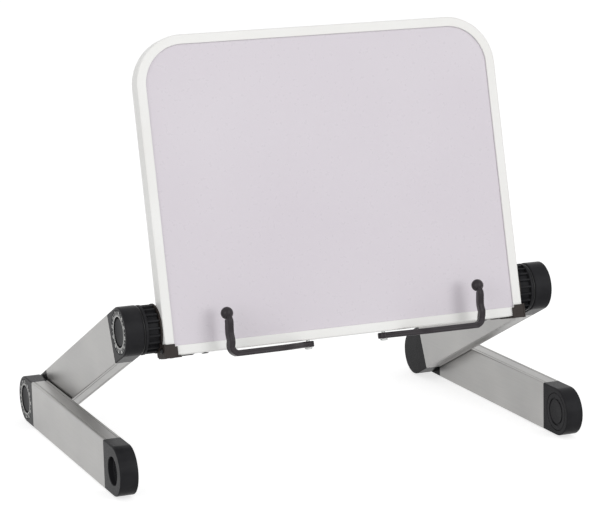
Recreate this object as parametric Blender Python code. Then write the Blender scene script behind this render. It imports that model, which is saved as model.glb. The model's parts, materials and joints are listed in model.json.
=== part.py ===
# Adjustable book stand: a framed board carried between two folding legs.
# Metres, +Z up. +X is the reader's right, +Y points away from the reader, and the table is at zero height.
# Every piece is modelled for the right-hand side and mirrored for the left one.

import math

import bmesh
import bpy
import numpy as np
from mathutils import Matrix, Vector

# Board
BOARD_WIDTH = 0.340
BOARD_HEIGHT = 0.274
BOARD_THICKNESS = 0.015
BOARD_CORNER_RADIUS = 0.044
BOARD_TILT = math.radians(13.3)
LIP_WIDTH = 0.0085
LIP_THICKNESS = 0.0014
LIP_EDGE_ROUND = 0.0012
FRAME_WALL = 0.0055
PANEL_THICKNESS = 0.003
BACK_COVER_SKIN = 0.002
BACK_COVER_RIB = 0.0022
BACK_COVER_COLUMNS = 4
BACK_EDGE_ROUND = 0.001

# Where the board hangs on the shoulder axis
AXIS_ABOVE_BOARD_EDGE = 0.025
AXIS_BEHIND_BOARD_FRONT = 0.0232

# Arms
ARM_HEIGHT = 0.044
ARM_WIDTH = 0.0165
ARM_AXIS_LENGTH = 0.272
ARM_RAISE = math.radians(24.8)
CAP_STRAIGHT = 0.024
CAP_EDGE_ROUND = 0.0008
TUBE_WALL = 0.0016
TUBE_CORNER_ROUND = 0.0008
TUBE_GROOVE_WIDTH = 0.0009
TUBE_GROOVE_DEPTH = 0.0005
TUBE_GROOVE_INSET = 0.0026
SPIGOT_LENGTH = 0.013
ARM_SIDE_GAP = 0.0015

# Lock joint: dial, push button, lock gear, spring and pivot bolt
BUTTON_EDGE_MARGIN = 0.0097
BUTTON_THICKNESS = 0.0032
BUTTON_SKIN = 0.0012
BUTTON_EDGE_ROUND = 0.0006
BUTTON_RECESS = 0.0065
BUTTON_TRAVEL = 0.0025
BUTTON_BELOW_FACE = 0.0004
BUTTON_SIDE_GAP = 0.0009
DIAL_DEPTH = 0.001
DIAL_EDGE_MARGIN = 0.003
WEB_THICKNESS = 0.002
POST_RIM_MARGIN = 0.0019
POST_INNER_SHARE = 0.52
POST_HALF_ANGLE = math.radians(13)
POST_COUNT = 3
GEAR_RIM_MARGIN = 0.0065
GEAR_TOOTH_HEIGHT = 0.0018
GEAR_TOOTH_ROOT_WIDTH = 0.0025
GEAR_TOOTH_TIP_WIDTH = 0.0016
GEAR_TEETH = 20
GEAR_SPRING_POCKET_SHARE = 0.62
SPRING_ROOM = 0.0017
SPRING_MEAN_RADIUS = 0.0065
SPRING_WIRE = 0.0008
SPRING_PITCH = 0.00125
BOLT_RADIUS = 0.003
BOLT_HEAD_RADIUS = 0.005
BOLT_HEAD_HEIGHT = 0.0018
BOLT_EDGE_ROUND = 0.0004
CAP_BOLT_DEPTH = 0.0046
WASHER_THICKNESS = 0.0009
WASHER_WIDTH = 0.0035
WASHER_EDGE_MARGIN = 0.001

# Ribbed hub between each upper arm and the board
HUB_WIDTH = 0.0132
HUB_FLOOR = 0.0040
HUB_RIM_WIDTH = 0.0026
HUB_RIB_COUNT = 20
HUB_RIB_WIDTH = 0.0021
HUB_RIB_TOP_WIDTH = 0.0017
HUB_RIB_MARGIN = 0.0006
HUB_WALL = 0.0022

# Corner bracket
SIDE_PLATE_THICKNESS = 0.0012
SIDE_FOOT_DEPTH = 0.0155
SIDE_FOOT_ROUND = 0.003
BRACKET_FRONT_WIDTH = 0.0105
BRACKET_FRONT_HEIGHT = 0.0106
BRACKET_FRONT_THICKNESS = 0.0015
BRACKET_NOTCH_WIDTH = 0.0022
BRACKET_NOTCH_HEIGHT = 0.0023
BRACKET_BASE_THICKNESS = 0.0016
BRACKET_BASE_WIDTH = 0.0135
BRACKET_BASE_STEP = 0.0004
SHORT_PRONG_LENGTH = 0.013
SHORT_PRONG_WIDTH = 0.007
SHORT_PRONG_THICKNESS = 0.0006
SHORT_PRONG_SETBACK = 0.0063
LONG_PRONG_LENGTH = 0.017
LONG_PRONG_WIDTH = 0.008
LONG_PRONG_HEIGHT = 0.0095

# Lower arm's front cap
RECESS_RADIUS = 0.0125
RECESS_DEPTH = 0.005
DISC_EDGE_MARGIN = 0.0048
DISC_THICKNESS = 0.003
DISC_RING_RADIUS = 0.0128
DISC_RING_WIDTH = 0.0016
DISC_RING_DEPTH = 0.001

# Rubber feet under the lower arms
FOOT_LENGTH = 0.030
FOOT_WIDTH = 0.010
FOOT_THICKNESS = 0.0012
FOOT_FROM_TUBE_END = 0.010
FOOT_EDGE_ROUND = 0.0003

# Page clips
CLIP_PIVOT_HALF_SPACING = 0.0361
CLIP_PIVOT_BEHIND_FRONT = 0.0102
CLIP_CORNER_FROM_SIDE = 0.0515
CLIP_FORWARD = 0.0306
CLIP_STRAP_DEPTH = 0.0084
CLIP_STRAP_HEIGHT = 0.0052
CLIP_STRAP_CHAMFER = 0.0011
CLIP_BALL_RADIUS = 0.0054
CLIP_BALL_BACK = 0.0006
CLIP_RISE = 0.035
CLIP_LEG_FORWARD = 0.0028
CLIP_BEND_RADIUS = 0.0065
CLIP_UNDER_BOARD_GAP = 0.0011
CLIP_EYE_RADIUS = 0.0052
CLIP_SCREW_RADIUS = 0.0016
CLIP_SCREW_HEAD_RADIUS = 0.0034
CLIP_SCREW_HEAD_HEIGHT = 0.0018
CLIP_CRANK_REACH_SHARES = (0.0, 0.14, 0.26, 0.36, 0.48)
CLIP_CRANK_FORWARD_SHARES = (0.0, 0.27, 0.56, 0.76, 0.84)
CLIP_LEG_FORWARD_SHARES = (0.35, 0.80, 0.25, 0.95, 0.75)
CLIP_LEG_RISE_SHARES = (0.24, 0.34, 0.52, 0.76, 0.88)
CLIP_NECK_SHARE = 0.7
CLIP_NECK_DROP_SHARE = 0.45

# Small screws
SCREW_RADIUS = 0.0014
SCREW_HEAD_RADIUS = 0.0024
SCREW_HEAD_HEIGHT = 0.0014
LOW_HEAD_HEIGHT = 0.0009
SCREW_BITE = 0.0042
FRAME_SCREW_HEAD_RADIUS = 0.0031
FRAME_SCREW_FROM_SIDE = 0.037
BRACKET_SCREW_FROM_SIDE = 0.0068
BRACKET_SCREW_BEHIND_FRONT = 0.0062
BRACKET_SCREW_SINK = 0.0008
SIDE_SCREW_ABOVE_EDGE = 0.0052
SIDE_SCREW_BEHIND_FRONT = 0.0046

# Clearances
FIT_GAP = 0.0003
BOLT_GAP = 0.0004
GEAR_GAP = 0.0005
POST_GAP = 0.0005
TOOTH_SIDE_GAP = 0.00035
CUT_OVERRUN = 0.002
MERGE_DISTANCE = 0.000001

# Facets
ROUND_SEGMENTS = 32
HIDDEN_SEGMENTS = 24
SMALL_SEGMENTS = 12
NOSE_SEGMENTS = 18
CORNER_SEGMENTS = 8
SPRING_POINTS_PER_TURN = 8
BALL_SEGMENTS = 10
POST_ARC_SEGMENTS = 2

# Places across the stand, from the board's edge outwards
board_half = BOARD_WIDTH / 2
side_plate_inner = board_half + FIT_GAP
side_plate_outer = side_plate_inner + SIDE_PLATE_THICKNESS
hub_inner = side_plate_outer + FIT_GAP
hub_outer = hub_inner + HUB_WIDTH
upper_arm_inner = hub_outer + ARM_SIDE_GAP
upper_arm_outer = upper_arm_inner + ARM_WIDTH
lower_arm_inner = upper_arm_outer + ARM_SIDE_GAP
lower_arm_outer = lower_arm_inner + ARM_WIDTH

# Radii that follow the arm
arm_half = ARM_HEIGHT / 2
dial_pocket_radius = arm_half - DIAL_EDGE_MARGIN
button_radius = arm_half - BUTTON_EDGE_MARGIN
button_bore_radius = button_radius + BUTTON_SIDE_GAP
gear_tip_radius = arm_half - GEAR_RIM_MARGIN
gear_root_radius = gear_tip_radius - GEAR_TOOTH_HEIGHT
cavity_depth = ARM_WIDTH - BUTTON_RECESS - WEB_THICKNESS
gear_thickness = cavity_depth - FIT_GAP - SPRING_ROOM
gear_pocket_depth = gear_thickness * GEAR_SPRING_POCKET_SHARE
spring_outer_radius = SPRING_MEAN_RADIUS + SPRING_WIRE / 2
post_outer_radius = min(button_radius, gear_root_radius) - POST_RIM_MARGIN
post_inner_radius = BOLT_HEAD_RADIUS + (post_outer_radius - BOLT_HEAD_RADIUS) * POST_INNER_SHARE
disc_radius = arm_half - DISC_EDGE_MARGIN

# Depths in the board, measured back from its front face
panel_front = LIP_THICKNESS + FIT_GAP
cover_front = panel_front + PANEL_THICKNESS + FIT_GAP

# How far each page clip reaches sideways from its pivot
clip_reach = board_half - CLIP_CORNER_FROM_SIDE - CLIP_PIVOT_HALF_SPACING

# Heights above the table
arm_axis_height = FOOT_THICKNESS + FIT_GAP + arm_half
clip_below_axis = AXIS_ABOVE_BOARD_EDGE + CLIP_UNDER_BOARD_GAP + CLIP_STRAP_HEIGHT / 2


# Scene

def clear_scene():
    for item in list(bpy.data.objects):
        bpy.data.objects.remove(item, do_unlink=True)


def make_material(name, colour, roughness, metallic):
    material = bpy.data.materials.new(name)
    material.use_nodes = True
    shader = material.node_tree.nodes["Principled BSDF"]
    shader.inputs["Base Color"].default_value = (*colour, 1)
    shader.inputs["Roughness"].default_value = roughness
    shader.inputs["Metallic"].default_value = metallic
    return material


def make_frame(name, place, turn, parent=None):
    frame = bpy.data.objects.new(name, None)
    bpy.context.scene.collection.objects.link(frame)
    frame.parent = parent
    frame.location = place
    frame.rotation_euler = (turn, 0, 0)
    return frame


def make_object(name, bm, side, frame, material, place=(0, 0, 0)):
    bmesh.ops.remove_doubles(bm, verts=bm.verts, dist=MERGE_DISTANCE)
    if side < 0:
        bmesh.ops.scale(bm, vec=(-1, 1, 1), verts=bm.verts)
    bmesh.ops.recalc_face_normals(bm, faces=bm.faces)
    mesh = bpy.data.meshes.new(name)
    bm.to_mesh(mesh)
    bm.free()
    mesh.shade_smooth()
    mesh.set_sharp_from_angle(angle=math.radians(30))
    piece = bpy.data.objects.new(name, mesh)
    bpy.context.scene.collection.objects.link(piece)
    piece.parent = frame
    piece.location = place
    if material:
        mesh.materials.append(material)
    return piece


def make_cutter(name, bm, side, frame):
    cutter = make_object(name, bm, side, frame, None)
    cutter.hide_render = True
    cutter.display_type = "WIRE"
    return cutter


def apply_boolean(piece, other, operation):
    modifier = piece.modifiers.new(other.name, "BOOLEAN")
    modifier.object = other
    modifier.operation = operation
    modifier.solver = "EXACT"


# Outlines are lists of flat points. A wall joins two of them and a cover fills the space between loops.

def place_points(bm, axis, points, height):
    if axis == "X":
        return [bm.verts.new((height, a, b)) for a, b in points]
    if axis == "Y":
        return [bm.verts.new((a, height, b)) for a, b in points]
    return [bm.verts.new((a, b, height)) for a, b in points]


def wall(bm, axis, first, first_height, second, second_height, skip_last=False):
    lower = place_points(bm, axis, first, first_height)
    upper = place_points(bm, axis, second, second_height)
    count = len(first)
    for i in range(count - 1 if skip_last else count):
        j = (i + 1) % count
        bm.faces.new((lower[i], lower[j], upper[j], upper[i]))


def cover(bm, axis, height, loops):
    edges = []
    for points in loops:
        verts = place_points(bm, axis, points, height)
        for i, vert in enumerate(verts):
            edges.append(bm.edges.new((vert, verts[(i + 1) % len(verts)])))
    bmesh.ops.triangle_fill(bm, use_beauty=True, use_dissolve=False, edges=edges)


def prism(bm, axis, points, start, end, edge_round=0, inset_points=None):
    # A solid between two heights, with both rims drawn in when a rounded outline is given
    if edge_round:
        wall(bm, axis, inset_points, start, points, start + edge_round)
        wall(bm, axis, points, start + edge_round, points, end - edge_round)
        wall(bm, axis, points, end - edge_round, inset_points, end)
        cover(bm, axis, start, [inset_points])
        cover(bm, axis, end, [inset_points])
    else:
        wall(bm, axis, points, start, points, end)
        cover(bm, axis, start, [points])
        cover(bm, axis, end, [points])


def circle(radius, segments=ROUND_SEGMENTS, centre=(0, 0)):
    angles = [2 * math.pi * i / segments for i in range(segments)]
    return [(centre[0] + radius * math.cos(a), centre[1] + radius * math.sin(a)) for a in angles]


def rectangle(low_a, low_b, high_a, high_b):
    return [(low_a, low_b), (high_a, low_b), (high_a, high_b), (low_a, high_b)]


def toothed(root_radius, tip_radius, count, root_width, tip_width):
    points = []
    root_half = root_width / root_radius / 2
    tip_half = tip_width / tip_radius / 2
    for i in range(count):
        middle = 2 * math.pi * i / count
        for radius, angle in (
            (root_radius, middle - root_half),
            (tip_radius, middle - tip_half),
            (tip_radius, middle + tip_half),
            (root_radius, middle + root_half),
        ):
            points.append((radius * math.cos(angle), radius * math.sin(angle)))
    return points


def post_outline(index, grow):
    middle = 2 * math.pi * index / POST_COUNT + math.pi / 2
    inner = post_inner_radius - grow
    outer = post_outer_radius + grow
    half = POST_HALF_ANGLE + grow / post_outer_radius
    steps = [middle - half + 2 * half * i / POST_ARC_SEGMENTS for i in range(POST_ARC_SEGMENTS + 1)]
    points = [(outer * math.cos(a), outer * math.sin(a)) for a in steps]
    points += [(inner * math.cos(a), inner * math.sin(a)) for a in reversed(steps)]
    return points


def cap_outline(nose, inset=0):
    # From the straight border round the half-round nose, about the joint's axis; nose is +1 or -1 along Y
    radius = arm_half - inset
    border = -nose * CAP_STRAIGHT
    points = [(border, -radius)]
    for i in range(NOSE_SEGMENTS + 1):
        angle = -math.pi / 2 + math.pi * i / NOSE_SEGMENTS
        points.append((nose * radius * math.cos(angle), radius * math.sin(angle)))
    points.append((border, radius))
    return points


def gear_outline():
    return toothed(
        gear_root_radius,
        gear_tip_radius,
        GEAR_TEETH,
        GEAR_TOOTH_ROOT_WIDTH,
        GEAR_TOOTH_TIP_WIDTH,
    )


def tooth_cavity_outline():
    return toothed(
        gear_root_radius + GEAR_GAP,
        gear_tip_radius + GEAR_GAP,
        GEAR_TEETH,
        GEAR_TOOTH_ROOT_WIDTH + 2 * TOOTH_SIDE_GAP,
        GEAR_TOOTH_TIP_WIDTH + 2 * TOOTH_SIDE_GAP,
    )


def board_outline(inset):
    # Seen from the front about the shoulder axis: square bottom corners and round top corners
    half = board_half - inset
    bottom = -AXIS_ABOVE_BOARD_EDGE + inset
    centre_x = board_half - BOARD_CORNER_RADIUS
    centre_z = -AXIS_ABOVE_BOARD_EDGE + BOARD_HEIGHT - BOARD_CORNER_RADIUS
    radius = BOARD_CORNER_RADIUS - inset
    points = [(-half, bottom), (half, bottom)]
    for corner_x, start in ((centre_x, 0), (-centre_x, math.pi / 2)):
        for i in range(CORNER_SEGMENTS + 1):
            angle = start + math.pi / 2 * i / CORNER_SEGMENTS
            points.append((corner_x + radius * math.cos(angle), centre_z + radius * math.sin(angle)))
    return points


# Turned pieces along X, from a list of places and radii

def turned(bm, profile, segments, inner=None):
    for (x_a, radius_a), (x_b, radius_b) in zip(profile, profile[1:]):
        wall(bm, "X", circle(radius_a, segments), x_a, circle(radius_b, segments), x_b)
    ends = (profile[0], profile[-1])
    for x, radius in ends:
        loops = [circle(radius, segments)]
        if inner:
            loops.append(circle(inner, segments))
        cover(bm, "X", x, loops)
    if inner:
        wall(bm, "X", circle(inner, segments), ends[0][0], circle(inner, segments), ends[1][0])


# Arm tubes

def tube_outer_outline():
    # Cross-section of the extrusion: chamfered corners and a thin groove near each edge of both narrow faces
    half_width = ARM_WIDTH / 2
    chamfer = TUBE_CORNER_ROUND
    groove_outer = half_width - TUBE_GROOVE_INSET
    groove_inner = groove_outer - TUBE_GROOVE_WIDTH
    bottom_of_groove = arm_half - TUBE_GROOVE_DEPTH
    top_half = [
        (half_width, arm_half - chamfer),
        (half_width - chamfer, arm_half),
        (groove_outer, arm_half),
        (groove_outer, bottom_of_groove),
        (groove_inner, bottom_of_groove),
        (groove_inner, arm_half),
    ]
    top = top_half + [(-a, b) for a, b in reversed(top_half)]
    return top + [(-a, -b) for a, b in top]


def make_tube(name, side, frame, inner_x, material):
    middle = inner_x + ARM_WIDTH / 2
    outer = [(middle + a, b) for a, b in tube_outer_outline()]
    half_width = ARM_WIDTH / 2 - TUBE_WALL
    half_height = arm_half - TUBE_WALL
    hollow = rectangle(middle - half_width, -half_height, middle + half_width, half_height)
    rear_end = -CAP_STRAIGHT - FIT_GAP
    front_end = -ARM_AXIS_LENGTH + CAP_STRAIGHT + FIT_GAP
    bm = bmesh.new()
    wall(bm, "Y", outer, front_end, outer, rear_end)
    wall(bm, "Y", hollow, front_end, hollow, rear_end)
    cover(bm, "Y", front_end, [outer, hollow])
    cover(bm, "Y", rear_end, [outer, hollow])
    return make_object(name, bm, side, frame, material)


# End caps of the arms

def cap_body(bm, nose, inner_x):
    # The half-round body with drawn-in rims, and the spigot that plugs into the tube; both faces stay open
    full = cap_outline(nose)
    drawn_in = cap_outline(nose, CAP_EDGE_ROUND)
    outer_x = inner_x + ARM_WIDTH
    low_x = inner_x + CAP_EDGE_ROUND
    high_x = outer_x - CAP_EDGE_ROUND
    wall(bm, "X", drawn_in, inner_x, full, low_x)
    wall(bm, "X", full, low_x, full, high_x, skip_last=True)
    wall(bm, "X", full, high_x, drawn_in, outer_x)
    border = -nose * CAP_STRAIGHT
    spigot_end = border - nose * SPIGOT_LENGTH
    wall_and_gap = TUBE_WALL + FIT_GAP
    face = rectangle(low_x, -arm_half, high_x, arm_half)
    spigot = rectangle(
        inner_x + wall_and_gap,
        -arm_half + wall_and_gap,
        outer_x - wall_and_gap,
        arm_half - wall_and_gap,
    )
    cover(bm, "Y", border, [face, spigot])
    wall(bm, "Y", spigot, border, spigot, spigot_end)
    cover(bm, "Y", spigot_end, [spigot])


def make_dial_cap(name, side, frame, nose, inner_x, material, place):
    # Outer face: dial pocket and button bore. Inner face: toothed cavity. A slotted web lies between them.
    outer_x = inner_x + ARM_WIDTH
    dial_floor = outer_x - DIAL_DEPTH
    web_outer = outer_x - BUTTON_RECESS
    web_inner = web_outer - WEB_THICKNESS
    drawn_in = cap_outline(nose, CAP_EDGE_ROUND)
    pocket = circle(dial_pocket_radius)
    bore = circle(button_bore_radius)
    bolt_hole = circle(BOLT_RADIUS + BOLT_GAP, SMALL_SEGMENTS)
    slots = [post_outline(i, POST_GAP) for i in range(POST_COUNT)]
    cavity = tooth_cavity_outline()
    bm = bmesh.new()
    cap_body(bm, nose, inner_x)
    cover(bm, "X", outer_x, [drawn_in, pocket])
    wall(bm, "X", pocket, outer_x, pocket, dial_floor)
    cover(bm, "X", dial_floor, [pocket, bore])
    wall(bm, "X", bore, dial_floor, bore, web_outer)
    cover(bm, "X", web_outer, [bore, bolt_hole] + slots)
    for opening in [bolt_hole] + slots:
        wall(bm, "X", opening, web_outer, opening, web_inner)
    cover(bm, "X", web_inner, [cavity, bolt_hole] + slots)
    wall(bm, "X", cavity, web_inner, cavity, inner_x)
    cover(bm, "X", inner_x, [drawn_in, cavity])
    return make_object(name, bm, side, frame, material, place)


def make_socket_cap(name, side, frame, nose, inner_x, material, place):
    # A plain inner face, and a toothed cavity in the outer face with a threaded hole in its floor
    outer_x = inner_x + ARM_WIDTH
    floor_x = outer_x - cavity_depth
    drawn_in = cap_outline(nose, CAP_EDGE_ROUND)
    bolt_hole = circle(BOLT_RADIUS + FIT_GAP, SMALL_SEGMENTS)
    cavity = tooth_cavity_outline()
    bm = bmesh.new()
    cap_body(bm, nose, inner_x)
    cover(bm, "X", inner_x, [drawn_in])
    cover(bm, "X", outer_x, [drawn_in, cavity])
    wall(bm, "X", cavity, outer_x, cavity, floor_x)
    cover(bm, "X", floor_x, [cavity, bolt_hole])
    wall(bm, "X", bolt_hole, floor_x, bolt_hole, floor_x - CAP_BOLT_DEPTH)
    cover(bm, "X", floor_x - CAP_BOLT_DEPTH, [bolt_hole])
    return make_object(name, bm, side, frame, material, place)


def make_front_cap(name, side, frame, inner_x, material, place):
    # The lower arm's free end: a round recess outside, and a seat for the ringed disc inside
    outer_x = inner_x + ARM_WIDTH
    drawn_in = cap_outline(-1, CAP_EDGE_ROUND)
    recess = circle(RECESS_RADIUS)
    seat = circle(disc_radius + FIT_GAP)
    seat_floor = inner_x + DISC_THICKNESS + FIT_GAP
    bm = bmesh.new()
    cap_body(bm, -1, inner_x)
    cover(bm, "X", outer_x, [drawn_in, recess])
    wall(bm, "X", recess, outer_x, recess, outer_x - RECESS_DEPTH)
    cover(bm, "X", outer_x - RECESS_DEPTH, [recess])
    cover(bm, "X", inner_x, [drawn_in, seat])
    wall(bm, "X", seat, inner_x, seat, seat_floor)
    cover(bm, "X", seat_floor, [seat])
    return make_object(name, bm, side, frame, material, place)


def make_front_disc(name, side, frame, inner_x, material, place):
    # A pressed-in disc with one turned groove round its centre
    back_x = inner_x + DISC_THICKNESS
    groove_x = inner_x + DISC_RING_DEPTH
    rim = circle(disc_radius)
    groove_outer = circle(DISC_RING_RADIUS, HIDDEN_SEGMENTS)
    groove_inner = circle(DISC_RING_RADIUS - DISC_RING_WIDTH, HIDDEN_SEGMENTS)
    bm = bmesh.new()
    wall(bm, "X", rim, inner_x, rim, back_x)
    cover(bm, "X", back_x, [rim])
    cover(bm, "X", inner_x, [rim, groove_outer])
    wall(bm, "X", groove_outer, inner_x, groove_outer, groove_x)
    cover(bm, "X", groove_x, [groove_outer, groove_inner])
    wall(bm, "X", groove_inner, groove_x, groove_inner, inner_x)
    cover(bm, "X", inner_x, [groove_inner])
    return make_object(name, bm, side, frame, material, place)


# Lock joint pieces

def make_dial(name, side, frame, outer_x, material, place):
    outer = dial_pocket_radius - FIT_GAP
    inner = button_bore_radius + FIT_GAP
    back_x = outer_x - DIAL_DEPTH + FIT_GAP
    bm = bmesh.new()
    turned(bm, [(back_x, outer), (outer_x, outer)], ROUND_SEGMENTS, inner)
    return make_object(name, bm, side, frame, material, place)


def make_button(name, side, frame, outer_x, socket_x, material, place):
    # A thick disc with a pocket over the bolt's head, and posts that reach through the web to the lock gear
    top_x = outer_x - BUTTON_BELOW_FACE
    under_x = top_x - BUTTON_THICKNESS
    pocket_x = top_x - BUTTON_SKIN
    post_end = socket_x + BUTTON_TRAVEL + FIT_GAP
    rim = circle(button_radius)
    drawn_in = circle(button_radius - BUTTON_EDGE_ROUND)
    pocket = circle(BOLT_HEAD_RADIUS + BOLT_GAP, SMALL_SEGMENTS)
    posts = [post_outline(i, 0) for i in range(POST_COUNT)]
    bm = bmesh.new()
    cover(bm, "X", top_x, [drawn_in])
    wall(bm, "X", drawn_in, top_x, rim, top_x - BUTTON_EDGE_ROUND)
    wall(bm, "X", rim, top_x - BUTTON_EDGE_ROUND, rim, under_x)
    cover(bm, "X", under_x, [rim, pocket] + posts)
    wall(bm, "X", pocket, under_x, pocket, pocket_x)
    cover(bm, "X", pocket_x, [pocket])
    for post in posts:
        wall(bm, "X", post, under_x, post, post_end)
        cover(bm, "X", post_end, [post])
    return make_object(name, bm, side, frame, material, place)


def make_gear(name, side, frame, socket_x, material, place):
    # Lock gear at its released depth, wholly inside the socket, with a pocket for the spring
    face_x = socket_x - FIT_GAP
    back_x = face_x - gear_thickness
    pocket_x = back_x + gear_pocket_depth
    teeth = gear_outline()
    bore = circle(BOLT_RADIUS + BOLT_GAP, SMALL_SEGMENTS)
    pocket = circle(spring_outer_radius + BOLT_GAP, HIDDEN_SEGMENTS)
    bm = bmesh.new()
    wall(bm, "X", teeth, back_x, teeth, face_x)
    cover(bm, "X", face_x, [teeth, bore])
    wall(bm, "X", bore, face_x, bore, pocket_x)
    cover(bm, "X", pocket_x, [pocket, bore])
    wall(bm, "X", pocket, pocket_x, pocket, back_x)
    cover(bm, "X", back_x, [teeth, pocket])
    return make_object(name, bm, side, frame, material, place)


def make_spring(name, side, frame, socket_x, socket_depth, material, place):
    # A coil between the socket's floor and the bottom of the gear's pocket
    low_x = socket_x - socket_depth + FIT_GAP + SPRING_WIRE / 2
    gear_back = socket_x - FIT_GAP - gear_thickness
    high_x = gear_back + gear_pocket_depth - FIT_GAP - SPRING_WIRE / 2
    turn_count = max(1, int((high_x - low_x) / SPRING_PITCH))
    count = turn_count * SPRING_POINTS_PER_TURN
    turns = np.linspace(0, 2 * math.pi * turn_count, count + 1)
    xs = np.linspace(low_x, high_x, count + 1) * side
    ys = SPRING_MEAN_RADIUS * np.cos(turns)
    zs = SPRING_MEAN_RADIUS * np.sin(turns)
    curve = bpy.data.curves.new(name, "CURVE")
    curve.dimensions = "3D"
    curve.bevel_depth = SPRING_WIRE / 2
    curve.bevel_resolution = 1
    curve.use_fill_caps = True
    spline = curve.splines.new("POLY")
    spline.points.add(count)
    for point, x, y, z in zip(spline.points, xs, ys, zs):
        point.co = (x, y, z, 1)
    curve.materials.append(material)
    piece = bpy.data.objects.new(name, curve)
    bpy.context.scene.collection.objects.link(piece)
    piece.parent = frame
    piece.location = place
    return piece


def make_bolt(name, side, frame, outer_x, end_x, material, place):
    # The head sits on the web under the button, and the shank runs through the gear and the spring
    head_x = outer_x - BUTTON_RECESS + FIT_GAP
    top_x = head_x + BOLT_HEAD_HEIGHT
    profile = [
        (end_x, BOLT_RADIUS - BOLT_EDGE_ROUND),
        (end_x + BOLT_EDGE_ROUND, BOLT_RADIUS),
        (head_x, BOLT_RADIUS),
        (head_x, BOLT_HEAD_RADIUS),
        (top_x - BOLT_EDGE_ROUND, BOLT_HEAD_RADIUS),
        (top_x, BOLT_HEAD_RADIUS - BOLT_EDGE_ROUND),
    ]
    bm = bmesh.new()
    turned(bm, profile, SMALL_SEGMENTS)
    return make_object(name, bm, side, frame, material, place)


def make_washer(name, side, frame, gap_x, material, place):
    outer = arm_half - WASHER_EDGE_MARGIN
    start = gap_x + (ARM_SIDE_GAP - WASHER_THICKNESS) / 2
    bm = bmesh.new()
    turned(bm, [(start, outer), (start + WASHER_THICKNESS, outer)], HIDDEN_SEGMENTS, outer - WASHER_WIDTH)
    return make_object(name, bm, side, frame, material, place)


def make_lock_joint(prefix, side, housing_frame, housing_place, socket_frame, socket_place, outer_x,
                    socket_x, socket_depth, bolt_end, materials):
    # The housing holds the dial and the button, and the socket holds the gear, spring, bolt and washer
    steel = materials["steel"]
    make_dial(prefix + "_dial", side, housing_frame, outer_x, materials["dial"], housing_place)
    make_button(
        prefix + "_button",
        side,
        housing_frame,
        outer_x,
        socket_x,
        materials["button"],
        housing_place,
    )
    make_gear(prefix + "_gear", side, socket_frame, socket_x, materials["gear"], socket_place)
    make_spring(prefix + "_spring", side, socket_frame, socket_x, socket_depth, steel, socket_place)
    make_bolt(prefix + "_bolt", side, socket_frame, outer_x, bolt_end, steel, socket_place)
    make_washer(prefix + "_washer", side, socket_frame, socket_x, materials["washer"], socket_place)


# Ribbed hub

def make_hub(name, side, frame, material):
    # A drum with open ribs, a plain rim next to the arm, and the shoulder's toothed cavity inside
    rim_radius = arm_half - HUB_RIB_MARGIN / 2
    rib_radius = rim_radius - HUB_RIB_MARGIN
    core_radius = gear_tip_radius + GEAR_GAP + HUB_WALL
    rim_inner = hub_outer - HUB_RIM_WIDTH
    floor_x = hub_inner + HUB_FLOOR
    rim = circle(rim_radius)
    rim_drawn_in = circle(rim_radius - CAP_EDGE_ROUND)
    ribs = toothed(core_radius, rib_radius, HUB_RIB_COUNT, HUB_RIB_WIDTH, HUB_RIB_TOP_WIDTH)
    cavity = tooth_cavity_outline()
    bolt_hole = circle(BOLT_RADIUS + FIT_GAP, SMALL_SEGMENTS)
    bm = bmesh.new()
    cover(bm, "X", hub_outer, [rim_drawn_in, cavity])
    wall(bm, "X", rim_drawn_in, hub_outer, rim, hub_outer - CAP_EDGE_ROUND)
    wall(bm, "X", rim, hub_outer - CAP_EDGE_ROUND, rim, rim_inner)
    cover(bm, "X", rim_inner, [rim, ribs])
    wall(bm, "X", ribs, rim_inner, ribs, hub_inner)
    cover(bm, "X", hub_inner, [ribs, bolt_hole])
    wall(bm, "X", bolt_hole, hub_inner, bolt_hole, floor_x)
    cover(bm, "X", floor_x, [cavity, bolt_hole])
    wall(bm, "X", cavity, floor_x, cavity, hub_outer)
    return make_object(name, bm, side, frame, material)


# Board

def make_board_frame(name, frame, material):
    # The section of the rail, as (inset from the outer edge, depth from the front), carried round the board
    section = [
        (0, LIP_EDGE_ROUND),
        (LIP_EDGE_ROUND / 3, LIP_EDGE_ROUND / 3),
        (LIP_EDGE_ROUND, 0),
        (LIP_WIDTH, 0),
        (LIP_WIDTH, LIP_THICKNESS),
        (FRAME_WALL, LIP_THICKNESS),
        (FRAME_WALL, BOARD_THICKNESS),
        (BACK_EDGE_ROUND, BOARD_THICKNESS),
        (0, BOARD_THICKNESS - BACK_EDGE_ROUND),
    ]
    bm = bmesh.new()
    for (inset_a, depth_a), (inset_b, depth_b) in zip(section, section[1:] + section[:1]):
        start = -AXIS_BEHIND_BOARD_FRONT + depth_a
        end = -AXIS_BEHIND_BOARD_FRONT + depth_b
        wall(bm, "Y", board_outline(inset_a), start, board_outline(inset_b), end)
    return make_object(name, bm, 1, frame, material)


def make_panel(name, frame, material):
    outline = board_outline(FRAME_WALL + FIT_GAP)
    start = -AXIS_BEHIND_BOARD_FRONT + panel_front
    bm = bmesh.new()
    prism(bm, "Y", outline, start, start + PANEL_THICKNESS)
    return make_object(name, bm, 1, frame, material)


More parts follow.
